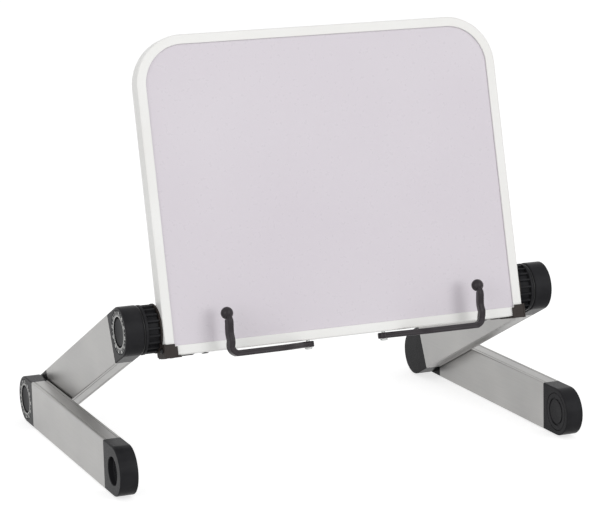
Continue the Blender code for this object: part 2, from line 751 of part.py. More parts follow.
def cover_pocket(index, inset):
    # One of the upright pockets of the back cover; the end ones follow the board's round top corners
    half = board_half - inset
    bottom = -AXIS_ABOVE_BOARD_EDGE + inset
    top = -AXIS_ABOVE_BOARD_EDGE + BOARD_HEIGHT - inset
    pitch = (2 * half + BACK_COVER_RIB) / BACK_COVER_COLUMNS
    low = -half + index * pitch
    high = low + pitch - BACK_COVER_RIB
    corner = BOARD_CORNER_RADIUS - inset
    centre_z = top - corner
    arc = [math.pi / 2 * i / CORNER_SEGMENTS for i in range(CORNER_SEGMENTS + 1)]
    points = [(low, bottom), (high, bottom)]
    if index == BACK_COVER_COLUMNS - 1:
        points += [(high - corner + corner * math.cos(a), centre_z + corner * math.sin(a)) for a in arc]
    else:
        points.append((high, top))
    if index == 0:
        points += [(low + corner - corner * math.sin(a), centre_z + corner * math.cos(a)) for a in arc]
    else:
        points.append((low, top))
    return points


def make_back_cover(name, frame, material):
    # A tray that closes the frame from behind, with upright ribs that carry the panel
    outer = board_outline(FRAME_WALL + FIT_GAP)
    pockets = [
        cover_pocket(i, FRAME_WALL + FIT_GAP + BACK_COVER_RIB) for i in range(BACK_COVER_COLUMNS)
    ]
    front = -AXIS_BEHIND_BOARD_FRONT + cover_front
    back = -AXIS_BEHIND_BOARD_FRONT + BOARD_THICKNESS - FIT_GAP
    pocket_floor = back - BACK_COVER_SKIN
    bm = bmesh.new()
    wall(bm, "Y", outer, front, outer, back)
    cover(bm, "Y", back, [outer])
    cover(bm, "Y", front, [outer] + pockets)
    for pocket in pockets:
        wall(bm, "Y", pocket, front, pocket, pocket_floor)
        cover(bm, "Y", pocket_floor, [pocket])
    return make_object(name, bm, 1, frame, material)


# Corner bracket

def bracket_faces():
    # Depth of the front plate's outer face and height of the side plate's lower edge
    front = -AXIS_BEHIND_BOARD_FRONT - BRACKET_FRONT_THICKNESS - FIT_GAP
    bottom = -AXIS_ABOVE_BOARD_EDGE - BRACKET_BASE_THICKNESS - FIT_GAP
    return front, bottom


def side_plate_outline():
    # The hub's round flange joined to a foot, round at its rear corner, that wraps the board's lower corner
    radius = arm_half - HUB_RIB_MARGIN / 2
    front, bottom = bracket_faces()
    top = -AXIS_ABOVE_BOARD_EDGE + BRACKET_FRONT_HEIGHT
    rear = front + SIDE_FOOT_DEPTH
    corner = SIDE_FOOT_ROUND
    points = [(front, top), (front, bottom)]
    for i in range(CORNER_SEGMENTS // 2 + 1):
        angle = math.pi / 2 * i / (CORNER_SEGMENTS // 2)
        points.append((rear - corner + corner * math.sin(angle), bottom + corner - corner * math.cos(angle)))
    start = -math.acos(rear / radius)
    end = math.pi + math.asin(-top / radius)
    for i in range(ROUND_SEGMENTS + 1):
        angle = start + (end - start) * i / ROUND_SEGMENTS
        points.append((radius * math.cos(angle), radius * math.sin(angle)))
    return points


def front_plate_mesh():
    # The small plate in front of the board's corner, with a notch at its upper inner corner
    front, bottom = bracket_faces()
    step = BRACKET_BASE_STEP
    low_x = board_half - BRACKET_FRONT_WIDTH
    root_x = side_plate_inner + SIDE_PLATE_THICKNESS / 2
    low_z = bottom + step
    high_z = -AXIS_ABOVE_BOARD_EDGE + BRACKET_FRONT_HEIGHT - step
    notch_x = low_x + BRACKET_NOTCH_WIDTH
    notch_z = high_z - BRACKET_NOTCH_HEIGHT
    outline = [(low_x, low_z), (root_x, low_z), (root_x, high_z), (notch_x, high_z), (notch_x, notch_z)]
    outline.append((low_x, notch_z))
    bm = bmesh.new()
    prism(bm, "Y", outline, front + step, -AXIS_BEHIND_BOARD_FRONT - FIT_GAP)
    return bm


def corner_block_boxes():
    # Low and high corners of the boxes that clasp the board: base, short prong, long prong
    front, bottom = bracket_faces()
    under = -AXIS_ABOVE_BOARD_EDGE - FIT_GAP
    back_face = -AXIS_BEHIND_BOARD_FRONT + BOARD_THICKNESS + FIT_GAP
    root_x = side_plate_inner + SIDE_PLATE_THICKNESS / 2
    base_x = board_half - BRACKET_BASE_WIDTH
    step = BRACKET_BASE_STEP
    base = (
        (base_x, front + 2 * step, bottom + step / 2),
        (root_x, back_face + LONG_PRONG_WIDTH / 2, under),
    )
    prong_front = -AXIS_BEHIND_BOARD_FRONT + SHORT_PRONG_SETBACK
    prong_top = under - step / 2
    short_prong = (
        (base_x - SHORT_PRONG_LENGTH, prong_front, prong_top - SHORT_PRONG_THICKNESS),
        (base_x + step, prong_front + SHORT_PRONG_WIDTH, prong_top),
    )
    long_prong = (
        (base_x - LONG_PRONG_LENGTH, back_face, under - step / 2),
        (root_x - step, back_face + LONG_PRONG_WIDTH, under + LONG_PRONG_HEIGHT),
    )
    return {"base": base, "short_prong": short_prong, "long_prong": long_prong}


def box_mesh(low, high):
    bm = bmesh.new()
    prism(bm, "X", rectangle(low[1], low[2], high[1], high[2]), low[0], high[0])
    return bm


def rod_mesh(axis, centre, start, end, radius):
    bm = bmesh.new()
    prism(bm, axis, circle(radius, SMALL_SEGMENTS, centre), start, end)
    return bm


def make_bracket(name, side, frame, material):
    bm = bmesh.new()
    prism(bm, "X", side_plate_outline(), side_plate_inner, side_plate_outer)
    bracket = make_object(name, bm, side, frame, material)
    apply_boolean(bracket, make_cutter(name + "_plate", front_plate_mesh(), side, frame), "UNION")
    for part_name, (low, high) in corner_block_boxes().items():
        block = make_cutter(name + "_" + part_name, box_mesh(low, high), side, frame)
        apply_boolean(bracket, block, "UNION")
    hole_radius = SCREW_RADIUS + FIT_GAP
    bolt_hole = rod_mesh("X", (0, 0), side_plate_inner - CUT_OVERRUN, side_plate_outer + CUT_OVERRUN,
                         BOLT_RADIUS + FIT_GAP)
    apply_boolean(bracket, make_cutter(name + "_bolt_hole", bolt_hole, side, frame), "DIFFERENCE")
    seat = bracket_screw_seat()
    screw_hole = rod_mesh("Z", bracket_screw_place(), seat - CUT_OVERRUN,
                          -AXIS_ABOVE_BOARD_EDGE + CUT_OVERRUN, hole_radius)
    apply_boolean(bracket, make_cutter(name + "_screw_hole", screw_hole, side, frame), "DIFFERENCE")
    head_hole = rod_mesh("Z", bracket_screw_place(), seat - CUT_OVERRUN, seat, SCREW_HEAD_RADIUS + FIT_GAP)
    apply_boolean(bracket, make_cutter(name + "_head_hole", head_hole, side, frame), "DIFFERENCE")
    side_hole = rod_mesh("X", side_screw_place(), side_plate_inner - CUT_OVERRUN,
                         side_plate_outer + CUT_OVERRUN, hole_radius)
    apply_boolean(bracket, make_cutter(name + "_side_hole", side_hole, side, frame), "DIFFERENCE")
    return bracket


# Screws

def bracket_screw_place():
    return (board_half - BRACKET_SCREW_FROM_SIDE, -AXIS_BEHIND_BOARD_FRONT + BRACKET_SCREW_BEHIND_FRONT)


def bracket_screw_seat():
    # Floor of the round hole that the screw's head sinks into
    return bracket_faces()[1] + BRACKET_BASE_STEP / 2 + BRACKET_SCREW_SINK


def side_screw_place():
    centre_y = -AXIS_BEHIND_BOARD_FRONT + SIDE_SCREW_BEHIND_FRONT
    centre_z = -AXIS_ABOVE_BOARD_EDGE + SIDE_SCREW_ABOVE_EDGE
    return (centre_y, centre_z)


def frame_screw_place():
    return (board_half - FRAME_SCREW_FROM_SIDE, -AXIS_BEHIND_BOARD_FRONT + BRACKET_SCREW_BEHIND_FRONT)


def clip_pivot_place():
    return (CLIP_PIVOT_HALF_SPACING, -AXIS_BEHIND_BOARD_FRONT + CLIP_PIVOT_BEHIND_FRONT)


def make_screw(name, side, frame, axis, centre, seat, into, tip, radius, head_radius, head_height, material):
    # The head lies on its seat and the shank runs from it to the tip; into is +1 or -1 along the axis
    head_seat = seat - into * FIT_GAP
    head_top = head_seat - into * head_height
    rim_round = head_height / 3
    shank = circle(radius, SMALL_SEGMENTS, centre)
    head = circle(head_radius, SMALL_SEGMENTS, centre)
    crown = circle(head_radius - rim_round, SMALL_SEGMENTS, centre)
    bm = bmesh.new()
    cover(bm, axis, tip, [shank])
    wall(bm, axis, shank, tip, shank, head_seat)
    cover(bm, axis, head_seat, [head, shank])
    wall(bm, axis, head, head_seat, head, head_top + into * rim_round)
    wall(bm, axis, head, head_top + into * rim_round, crown, head_top)
    cover(bm, axis, head_top, [crown])
    return make_object(name, bm, side, frame, material)


def make_board_screws(label, side, frame, material, clip_material):
    under = -AXIS_ABOVE_BOARD_EDGE
    tip = under + SCREW_BITE
    make_screw(label + "_bracket_screw", side, frame, "Z", bracket_screw_place(), bracket_screw_seat(), 1,
               tip, SCREW_RADIUS, SCREW_HEAD_RADIUS, LOW_HEAD_HEIGHT, material)
    make_screw(label + "_side_screw", side, frame, "X", side_screw_place(), side_plate_outer, -1,
               board_half - SCREW_BITE, SCREW_RADIUS, SCREW_HEAD_RADIUS, SCREW_HEAD_HEIGHT, material)
    make_screw(label + "_frame_screw", side, frame, "Z", frame_screw_place(), under, 1, tip,
               SCREW_RADIUS, FRAME_SCREW_HEAD_RADIUS, LOW_HEAD_HEIGHT, material)
    eye_bottom = -clip_below_axis - CLIP_STRAP_HEIGHT / 2
    make_screw(label + "_clip_screw", side, frame, "Z", clip_pivot_place(), eye_bottom, 1, tip,
               CLIP_SCREW_RADIUS, CLIP_SCREW_HEAD_RADIUS, CLIP_SCREW_HEAD_HEIGHT, clip_material)


def cut_frame_holes(board_frame, frame):
    # Blind holes in the rail for the eight screws that enter it
    under = -AXIS_ABOVE_BOARD_EDGE
    depth = SCREW_BITE + FIT_GAP
    for side, label in ((1, "right"), (-1, "left")):
        for hole, centre, radius in (
            ("bracket", bracket_screw_place(), SCREW_RADIUS),
            ("frame", frame_screw_place(), SCREW_RADIUS),
            ("clip", clip_pivot_place(), CLIP_SCREW_RADIUS),
        ):
            bm = rod_mesh("Z", centre, under - CUT_OVERRUN, under + depth, radius + FIT_GAP)
            cutter = make_cutter("rail_hole_" + hole + "_" + label, bm, side, frame)
            apply_boolean(board_frame, cutter, "DIFFERENCE")
        bm = rod_mesh("X", side_screw_place(), board_half - depth, board_half + CUT_OVERRUN,
                      SCREW_RADIUS + FIT_GAP)
        cutter = make_cutter("rail_hole_side_" + label, bm, side, frame)
        apply_boolean(board_frame, cutter, "DIFFERENCE")


# Page clips

def clip_path():
    # Centre line from the pivot eye along the cranked bar, round the corner and up the leg to the ball
    points = []
    for reach, forward in zip(CLIP_CRANK_REACH_SHARES, CLIP_CRANK_FORWARD_SHARES):
        points.append(Vector((clip_reach * reach, -CLIP_FORWARD * forward, 0)))
    corner = Vector((clip_reach, -CLIP_FORWARD, 0))
    last = points[-1]
    along = (corner - last).normalized()
    bend = CLIP_BEND_RADIUS
    arc_start = corner - along * bend
    points.append((last + arc_start) / 2)
    up = Vector((0, 0, 1))
    for i in range(CORNER_SEGMENTS // 2 + 1):
        angle = math.pi / 2 * i / (CORNER_SEGMENTS // 2)
        points.append(arc_start + along * bend * math.sin(angle) + up * bend * (1 - math.cos(angle)))
    for forward, rise in zip(CLIP_LEG_FORWARD_SHARES, CLIP_LEG_RISE_SHARES):
        points.append(corner + Vector((0, -CLIP_LEG_FORWARD * forward, CLIP_RISE * rise)))
    return points


def ball_place():
    return Vector((clip_reach, -CLIP_FORWARD + CLIP_BALL_BACK, CLIP_RISE))


def ball_mesh():
    bm = bmesh.new()
    bmesh.ops.create_uvsphere(bm, u_segments=ROUND_SEGMENTS // 2, v_segments=BALL_SEGMENTS,
                              radius=CLIP_BALL_RADIUS)
    bmesh.ops.translate(bm, vec=ball_place(), verts=bm.verts)
    return bm


def strap_outline():
    # Section of the clip as (across, up) points: a flat strap whose four edges are chamfered
    half_depth = CLIP_STRAP_DEPTH / 2
    half_height = CLIP_STRAP_HEIGHT / 2
    chamfer = CLIP_STRAP_CHAMFER
    corner = [(half_depth, half_height - chamfer), (half_depth - chamfer, half_height)]
    upper = corner + [(-across, up) for across, up in reversed(corner)]
    return upper + [(-across, -up) for across, up in upper]


def sweep(bm, stations):
    # The strap carried through (place, share of its section) stations, turned least from one to the next
    places = [place for place, share in stations]
    outline = strap_outline()
    sides = len(outline)
    count = len(stations)
    normal = Vector((0, 0, 1))
    rings = []
    for i, (place, share) in enumerate(stations):
        tangent = (places[min(i + 1, count - 1)] - places[max(i - 1, 0)]).normalized()
        normal = (normal - tangent * normal.dot(tangent)).normalized()
        side_way = tangent.cross(normal)
        rings.append([
            bm.verts.new(place + (side_way * across + normal * up) * share) for across, up in outline
        ])
    for first, second in zip(rings, rings[1:]):
        for k in range(sides):
            j = (k + 1) % sides
            bm.faces.new((first[k], first[j], second[j], second[k]))
    bm.faces.new(rings[0])
    bm.faces.new(rings[-1])


def make_clip(label, side, board, material):
    centre_x, centre_y = clip_pivot_place()
    pivot = make_frame(label + "_clip_axis", (centre_x * side, centre_y, -clip_below_axis), 0, board)
    neck = ball_place() - Vector((0, 0, CLIP_BALL_RADIUS * CLIP_NECK_DROP_SHARE))
    stations = [(place, 1) for place in clip_path()] + [(neck, CLIP_NECK_SHARE)]
    bm = bmesh.new()
    sweep(bm, stations)
    clip = make_object(label + "_page_clip", bm, side, pivot, material)
    apply_boolean(clip, make_cutter(label + "_clip_ball", ball_mesh(), side, pivot), "UNION")
    half = CLIP_STRAP_HEIGHT / 2
    eye = rod_mesh("Z", (0, 0), -half, half, CLIP_EYE_RADIUS)
    apply_boolean(clip, make_cutter(label + "_clip_eye", eye, side, pivot), "UNION")
    hole = rod_mesh("Z", (0, 0), -half - CUT_OVERRUN, half + CUT_OVERRUN, CLIP_SCREW_RADIUS + FIT_GAP)
    apply_boolean(clip, make_cutter(label + "_clip_eye_hole", hole, side, pivot), "DIFFERENCE")
    return clip


# Rubber feet

def make_foot(name, side, frame, centre_y, material):
    middle = lower_arm_inner + ARM_WIDTH / 2
    half_width = FOOT_WIDTH / 2
    half_length = FOOT_LENGTH / 2
    grow = FOOT_EDGE_ROUND
    full = rectangle(
        middle - half_width,
        centre_y - half_length,
        middle + half_width,
        centre_y + half_length,
    )
    drawn_in = rectangle(
        middle - half_width + grow,
        centre_y - half_length + grow,
        middle + half_width - grow,
        centre_y + half_length - grow,
    )
    bm = bmesh.new()
    prism(bm, "Z", full, -arm_axis_height, -arm_axis_height + FOOT_THICKNESS, grow, drawn_in)
    return make_object(name, bm, side, frame, material)


# Assembly

def axis_places():
    # The stand is centred between its foremost point, on a page clip, and the rear noses of the lower arms
    clip_y = clip_pivot_place()[1]
    lean = Vector((0, -math.cos(BOARD_TILT), -math.sin(BOARD_TILT)))
    pivot = Vector((0, clip_y, -clip_below_axis))
    clip_forward = max((pivot + point).dot(lean) for point in clip_path()) + CLIP_STRAP_DEPTH / 2
    arm_run = ARM_AXIS_LENGTH * math.cos(ARM_RAISE)
    arm_rise = ARM_AXIS_LENGTH * math.sin(ARM_RAISE)
    elbow_y = (arm_run + clip_forward - arm_half) / 2
    elbow = Vector((0, elbow_y, arm_axis_height))
    return elbow, elbow + Vector((0, -arm_run, arm_rise))


def make_materials():
    return {
        "aluminium": make_material("anodised_aluminium", (0.52, 0.52, 0.51), 0.35, 1.0),
        "black": make_material("black_plastic", (0.022, 0.022, 0.024), 0.3, 0.0),
        "dial": make_material("dial_plastic", (0.05, 0.05, 0.055), 0.45, 0.0),
        "button": make_material("button_plastic", (0.06, 0.06, 0.065), 0.35, 0.0),
        "gear": make_material("nylon_gear", (0.75, 0.74, 0.70), 0.5, 0.0),
        "steel": make_material("zinc_plated_steel", (0.60, 0.60, 0.60), 0.3, 1.0),
        "washer": make_material("acetal_washer", (0.03, 0.03, 0.03), 0.5, 0.0),
        "panel": make_material("lilac_panel", (0.66, 0.61, 0.66), 0.35, 0.0),
        "frame": make_material("white_frame", (0.84, 0.84, 0.82), 0.3, 0.0),
        "cover": make_material("back_cover_plastic", (0.70, 0.70, 0.69), 0.5, 0.0),
        "clip": make_material("dark_clip_plastic", (0.045, 0.037, 0.042), 0.35, 0.0),
        "rubber": make_material("black_rubber", (0.02, 0.02, 0.02), 0.8, 0.0),
        "screw": make_material("black_screw", (0.04, 0.04, 0.04), 0.4, 1.0),
    }


def make_leg(label, side, elbow_place, materials):
    lower = make_frame(label + "_lower_arm_axis", elbow_place, 0)
    upper = make_frame(label + "_elbow_axis", elbow_place, -ARM_RAISE)
    far_end = (0, -ARM_AXIS_LENGTH, 0)
    near_end = (0, 0, 0)
    black = materials["black"]
    make_tube(label + "_lower_tube", side, lower, lower_arm_inner, materials["aluminium"])
    make_front_cap(label + "_lower_front_cap", side, lower, lower_arm_inner, black, far_end)
    make_front_disc(label + "_front_cap_disc", side, lower, lower_arm_inner, black, far_end)
    make_dial_cap(label + "_lower_rear_cap", side, lower, 1, lower_arm_inner, black, near_end)
    rear_foot = -CAP_STRAIGHT - FOOT_FROM_TUBE_END - FOOT_LENGTH / 2
    front_foot = -ARM_AXIS_LENGTH - rear_foot
    make_foot(label + "_rear_foot", side, lower, rear_foot, materials["rubber"])
    make_foot(label + "_front_foot", side, lower, front_foot, materials["rubber"])
    make_tube(label + "_upper_tube", side, upper, upper_arm_inner, materials["aluminium"])
    make_socket_cap(label + "_upper_rear_cap", side, upper, 1, upper_arm_inner, black, near_end)
    make_dial_cap(label + "_upper_front_cap", side, upper, -1, upper_arm_inner, black, far_end)
    elbow_bolt_end = upper_arm_outer - cavity_depth - CAP_BOLT_DEPTH + FIT_GAP
    make_lock_joint(label + "_elbow", side, lower, near_end, upper, near_end, lower_arm_outer,
                    upper_arm_outer, cavity_depth, elbow_bolt_end, materials)
    return upper, far_end


def make_shoulder(label, side, upper, far_end, board, materials):
    make_hub(label + "_hub", side, board, materials["black"])
    make_bracket(label + "_corner_bracket", side, board, materials["black"])
    socket_depth = HUB_WIDTH - HUB_FLOOR
    make_lock_joint(label + "_shoulder", side, upper, far_end, board, (0, 0, 0), upper_arm_outer,
                    hub_outer, socket_depth, side_plate_inner + FIT_GAP, materials)


def make_board(board, materials):
    board_frame = make_board_frame("board_frame", board, materials["frame"])
    cut_frame_holes(board_frame, board)
    make_panel("panel", board, materials["panel"])
    make_back_cover("back_cover", board, materials["cover"])


def build_stand():
    clear_scene()
    materials = make_materials()
    elbow_place, shoulder_place = axis_places()
    board = make_frame("board_axis", shoulder_place, -BOARD_TILT)
    make_board(board, materials)
    for side, label in ((1, "right"), (-1, "left")):
        upper, far_end = make_leg(label, side, elbow_place, materials)
        make_shoulder(label, side, upper, far_end, board, materials)
        make_board_screws(label, side, board, materials["screw"], materials["steel"])
        make_clip(label, side, board, materials["clip"])


build_stand()
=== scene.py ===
import json
import math

import bmesh
import bpy
import numpy as np
from mathutils import Matrix, Quaternion, Vector


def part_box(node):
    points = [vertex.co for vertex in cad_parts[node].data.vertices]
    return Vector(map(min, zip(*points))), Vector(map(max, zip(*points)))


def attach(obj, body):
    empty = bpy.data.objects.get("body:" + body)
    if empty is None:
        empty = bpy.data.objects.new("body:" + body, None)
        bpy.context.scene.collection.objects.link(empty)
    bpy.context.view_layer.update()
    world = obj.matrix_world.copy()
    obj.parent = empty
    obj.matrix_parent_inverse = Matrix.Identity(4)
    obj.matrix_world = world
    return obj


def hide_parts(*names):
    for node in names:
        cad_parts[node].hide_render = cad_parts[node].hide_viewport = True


# Adjustable book stand: fine surfaces, finishes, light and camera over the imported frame.
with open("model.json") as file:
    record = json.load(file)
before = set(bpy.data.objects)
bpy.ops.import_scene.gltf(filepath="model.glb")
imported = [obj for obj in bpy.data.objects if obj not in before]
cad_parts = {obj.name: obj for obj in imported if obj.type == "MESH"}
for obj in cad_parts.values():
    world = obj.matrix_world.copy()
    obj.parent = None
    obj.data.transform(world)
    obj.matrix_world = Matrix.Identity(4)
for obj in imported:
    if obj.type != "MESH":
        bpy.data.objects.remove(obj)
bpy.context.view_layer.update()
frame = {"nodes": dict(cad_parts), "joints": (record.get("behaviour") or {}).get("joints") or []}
mm = 0.001
weldReach = 0.000002  # corners nearer than this are one, in metres
sides = {"right": 1, "left": -1}
print("stand: frame loaded,", len(frame["nodes"]), "nodes")

# Places taken from the frame: the two axes, the arms' slope and the board's tilt
joints = {joint["name"]: joint for joint in frame["joints"]}
elbowAt = np.array(joints["right_elbow"]["pos_m"])
shoulderAt = np.array(joints["right_shoulder"]["pos_m"])
armRun = elbowAt[1] - shoulderAt[1]
armRise = shoulderAt[2] - elbowAt[2]
armLength = math.hypot(armRun, armRise)
armRaise = math.atan2(armRise, armRun)
clipAxis = joints["left_clip_swing"]["axis"]
boardTilt = math.atan2(clipAxis[1], clipAxis[2])
frontEndAt = elbowAt - np.array([0, armLength, 0])

# Spans along x in mm
lowerX, upperX, hubX = (
    [corner[0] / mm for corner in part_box(f"right_{label}")] for label in ("lower_tube", "upper_tube", "hub")
)

# Turn about +X and origin of each local frame
spots = {
    "lowerRear": (0.0, elbowAt),
    "lowerFront": (0.0, frontEndAt),
    "upperRear": (-armRaise, elbowAt),
    "upperFront": (-armRaise, shoulderAt),
    "board": (-boardTilt, shoulderAt),
    "table": (0.0, np.zeros(3)),
}


# Values, colours and nodes

def pick(look, names):
    # A look's values under several names, in that order
    return (look[name] for name in names.split())


def linearColour(code):
    # sRGB hex to linear: c / 12.92 below 0.04045, else ((c + 0.055) / 1.055) to the power 2.4
    values = [int(code[i:i + 2], 16) / 255 for i in (1, 3, 5)]
    return tuple(v / 12.92 if v <= 0.04045 else ((v + 0.055) / 1.055) ** 2.4 for v in values) + (1.0,)


def addNode(tree, kind, output=0, settings=None, links=None):
    # One shader node with its properties, socket values and incoming links; gives back the output asked for
    node = tree.nodes.new("ShaderNode" + kind)
    for key, value in (settings or {}).items():
        if isinstance(key, str) and key.islower():
            setattr(node, key, value)
        else:
            node.inputs[key].default_value = value
    for key, socket in (links or {}).items():
        tree.links.new(socket, node.inputs[key])
    return node.outputs[output]


def newMaterial(name, look):
    # A node tree whose Principled shader has the finish's own metallic and IOR; a metal keeps the default 1.5
    material = bpy.data.materials.new(name)
    material.use_nodes = True
    tree = material.node_tree
    inputs = tree.nodes["Principled BSDF"].inputs
    inputs["Roughness"].default_value = look["roughness"][0]
    inputs["Metallic"].default_value = look.get("metallic", 0.0)
    inputs["IOR"].default_value = look.get("ior", 1.5)
    return material, tree, addNode(tree, "TexCoord", "Object")


def dressShader(tree, look, share, grain, bumps):
    # Two tones mixed by share, roughness spread over the middle of the grain, and each bump laid on the last;
    # a bump is (height, strength, depth in mm)
    darker, paler = (linearColour(code) for code in look["tones"])
    low, high = look["roughness"]
    colour = addNode(tree, "Mix", 2, {"data_type": "RGBA", 6: darker, 7: paler}, {0: share})
    span = {"From Min": 0.3, "From Max": 0.7, "To Min": low, "To Max": high}
    sheen = addNode(tree, "MapRange", 0, span, {0: grain})
    below = {}
    for height, strength, depth in bumps:
        settings = {"Strength": strength, "Distance": depth * mm}
        relief = addNode(tree, "Bump", 0, settings, {"Height": height, **below})
        below = {"Normal": relief}
    inputs = tree.nodes["Principled BSDF"].inputs
    for label, socket in (("Base Color", colour), ("Roughness", sheen), ("Normal", relief)):
        tree.links.new(socket, inputs[label])


# Finishes: each look holds two tones, the span of roughness, the IOR, and pattern sizes and depths in mm

tubeFinish = {
    "tones": ("#a09f9e", "#acaba9"),
    "roughness": (0.31, 0.41),
    "metallic": 1.0,
    "dieLine": (0.55, 0.012),  # pitch and depth; drawn coarser than the real 0.1 mm so that the lines show
    "stretch": 0.012,
    "blast": (0.35, 0.008),
    "cloud": 60,
}


def anodisedAluminium(name, turn):
    # Extruded, bead blasted, clear anodised aluminium: a soft grey sheen with faint lines along the tube.
    # The tone is 0.6 times the lines plus slow clouds
    look = tubeFinish
    material, tree, where = newMaterial(name, look)
    (linePitch, lineDepth), (blastSize, blastDepth) = pick(look, "dieLine blast")
    stretch = {"Rotation": (turn, 0, 0), "Scale": (1, look["stretch"], 1)}
    along = addNode(tree, "Mapping", 0, stretch, {0: where})
    lines, blast, clouds = (
        addNode(
            tree, "TexNoise", 0,
            {"Scale": 1 / (size * mm), "Detail": detail, "Roughness": fall}, {"Vector": place},
        )
        for size, detail, fall, place in (
            (linePitch, 2.0, 0.6, along), (blastSize, 4.0, 0.6, where), (look["cloud"], 2.0, 0.4, where),
        )
    )
    tone = addNode(tree, "Math", 0, {"operation": "MULTIPLY_ADD", 1: 0.6}, {0: lines, 2: clouds})
    share = addNode(tree, "MapRange", 0, {"From Min": 0.55, "From Max": 1.05}, {0: tone})
    dressShader(tree, look, share, blast, [(lines, 0.5, lineDepth), (blast, 0.4, blastDepth)])
    return material


grainedFinishes = {
    # Grain: size of the slow marks of tone, then size and depth of the fine grain
    # Glass-filled nylon caps and hubs: deep charcoal with a soft gloss along the round noses
    "blackNylonMoulded": {
        "tones": ("#28282a", "#2f2f31"), "roughness": (0.2, 0.3), "ior": 1.11, "grain": (14, 0.45, 0.005),
    },
    # ABS corner brackets: warm dark brown grey, matte
    "darkAbsBracket": {
        "tones": ("#312b28", "#38322f"), "roughness": (0.32, 0.42), "ior": 1.25, "grain": (14, 0.5, 0.012),
    },
    # ABS dial rings: a shade lighter than the caps round them
    "dialAbsRing": {
        "tones": ("#38393b", "#404143"), "roughness": (0.36, 0.46), "ior": 1.1, "grain": (14, 0.4, 0.006),
    },
    # ABS push buttons: satin dark grey
    "satinAbsButton": {
        "tones": ("#262729", "#2e2f31"), "roughness": (0.3, 0.4), "ior": 1.1, "grain": (9, 0.4, 0.008),
    },
    # Acetal wear washers: black, slightly waxy
    "acetalWasher": {
        "tones": ("#161617", "#1c1c1d"), "roughness": (0.36, 0.46), "ior": 1.4, "grain": (14, 0.5, 0.004),
    },
    # Natural nylon lock gears: milky cream
    "naturalNylonGear": {
        "tones": ("#dcd5c3", "#e6e0d0"), "roughness": (0.41, 0.51), "ior": 1.5, "grain": (14, 0.6, 0.006),
    },
    # Nylon page clips: warm dark grey with a faint light along the upper edges
    "greyNylonClip": {
        "tones": ("#2d282c", "#353034"), "roughness": (0.26, 0.36), "ior": 1.3, "grain": (14, 0.55, 0.008),
    },
    # White ABS frame moulding: even satin white with a slow warm and cool drift
    "whiteAbsMoulded": {
        "tones": ("#f1f0ed", "#f6f6f4"), "roughness": (0.27, 0.36), "ior": 1.5, "grain": (90, 0.6, 0.006),
    },
    # Pad-printed ink: white, slightly uneven over the dark ring
    "padPrintedInk": {
        "tones": ("#dededb", "#f4f4f1"), "roughness": (0.45, 0.55), "ior": 1.5, "grain": (0.3, 0.3, 0.004),
    },
    # Calendered PVC sheet of the panel: pale lilac grey, satin, with a faint orange peel
    "lilacPvcSheet": {
        "tones": ("#d8d1d9", "#dcd6dd"), "roughness": (0.26, 0.33), "ior": 1.5, "grain": (160, 4.0, 0.0012),
    },
    # Zinc-plated steel: bright metal with a slightly mottled passivation
    "brightZincSteel": {
        "tones": ("#b4b5b4", "#c9cac9"), "roughness": (0.2, 0.34), "metallic": 1.0,
        "grain": (1.2, 0.25, 0.006),
    },
    # Black zinc-plated screws: dark metal, satin
    "blackZincSteel": {
        "tones": ("#2a2a2b", "#3a3a3b"), "roughness": (0.28, 0.42), "metallic": 1.0,
        "grain": (1.2, 0.25, 0.006),
    },
}


def grainedSurface(name):
    # Slow marks mix the two tones; a fine grain from mould, rollers or plating sets the sheen and the relief
    look = grainedFinishes[name]
    material, tree, where = newMaterial(name, look)
    markSize, grainSize, grainDepth = look["grain"]
    marks, grain = (
        addNode(
            tree, "TexNoise", 0,
            {"Scale": 1 / (size * mm), "Detail": detail, "Roughness": fall}, {"Vector": where},
        )
        for size, detail, fall in ((markSize, 2.0, 0.5), (grainSize, 4.0, 0.6))
    )
    share = addNode(tree, "MapRange", 0, {"From Min": 0.3, "From Max": 0.7}, {0: marks})
    dressShader(tree, look, share, grain, [(grain, 0.5, grainDepth)])
    return material


coverFinish = {
    # The darker tone is painted shade, laid along the creases of the grain
    "tones": ("#dedcd8", "#eae9e6"),
    "roughness": (0.45, 0.58),
    "cell": (1.4, 0.05),
    "fine": (0.5, 0.012),
}


def etchedCover():
    # ABS back moulding from an etched mould: matte off-white with a leather grain of small cells.
    # Painted shade darkens the tone along the cells' creases, which also set the deeper relief; a fine noise
    # sets the sheen
    look = coverFinish
    material, tree, where = newMaterial("etchedAbsCover", look)
    (cellSize, cellDepth), (fineSize, fineDepth) = pick(look, "cell fine")
    cellular = {"feature": "DISTANCE_TO_EDGE", "Scale": 1 / (cellSize * mm)}
    cells = addNode(tree, "TexVoronoi", "Distance", cellular, {"Vector": where})
    # Painted shade: the darker tone lies along the cells' creases, darkest at their edges
    creasesAndShade = addNode(tree, "MapRange", 0, {"From Min": 0.0, "From Max": 0.16}, {0: cells})
    noise = {"Scale": 1 / (fineSize * mm), "Detail": 4.0, "Roughness": 0.6}
    fine = addNode(tree, "TexNoise", 0, noise, {"Vector": where})
    dressShader(tree, look, creasesAndShade, fine, [(creasesAndShade, 0.6, cellDepth), (fine, 0.4, fineDepth)])
    return material


padFinish = {"tones": ("#1a1a1a", "#242423"), "roughness": (0.7, 0.86), "rib": (1.2, 0.12), "dust": 1.0}


def ribbedRubber():
    # Moulded rubber pad: matte black with fine ribs across it and a dusty noise for tone and sheen
    look = padFinish
    material, tree, where = newMaterial("ribbedRubberPad", look)
    ribPitch, ribDepth = look["rib"]
    # A band repeats each 2 pi / 20 of the scaled length
    bands = {"bands_direction": "Y", "Scale": math.tau / 20 / (ribPitch * mm)}
    ribs = addNode(tree, "TexWave", "Fac", bands, {"Vector": where})
    noise = {"Scale": 1 / (look["dust"] * mm), "Detail": 4.0, "Roughness": 0.7}
    dust = addNode(tree, "TexNoise", 0, noise, {"Vector": where})
    dressShader(tree, look, dust, dust, [(ribs, 0.7, ribDepth)])
    return material


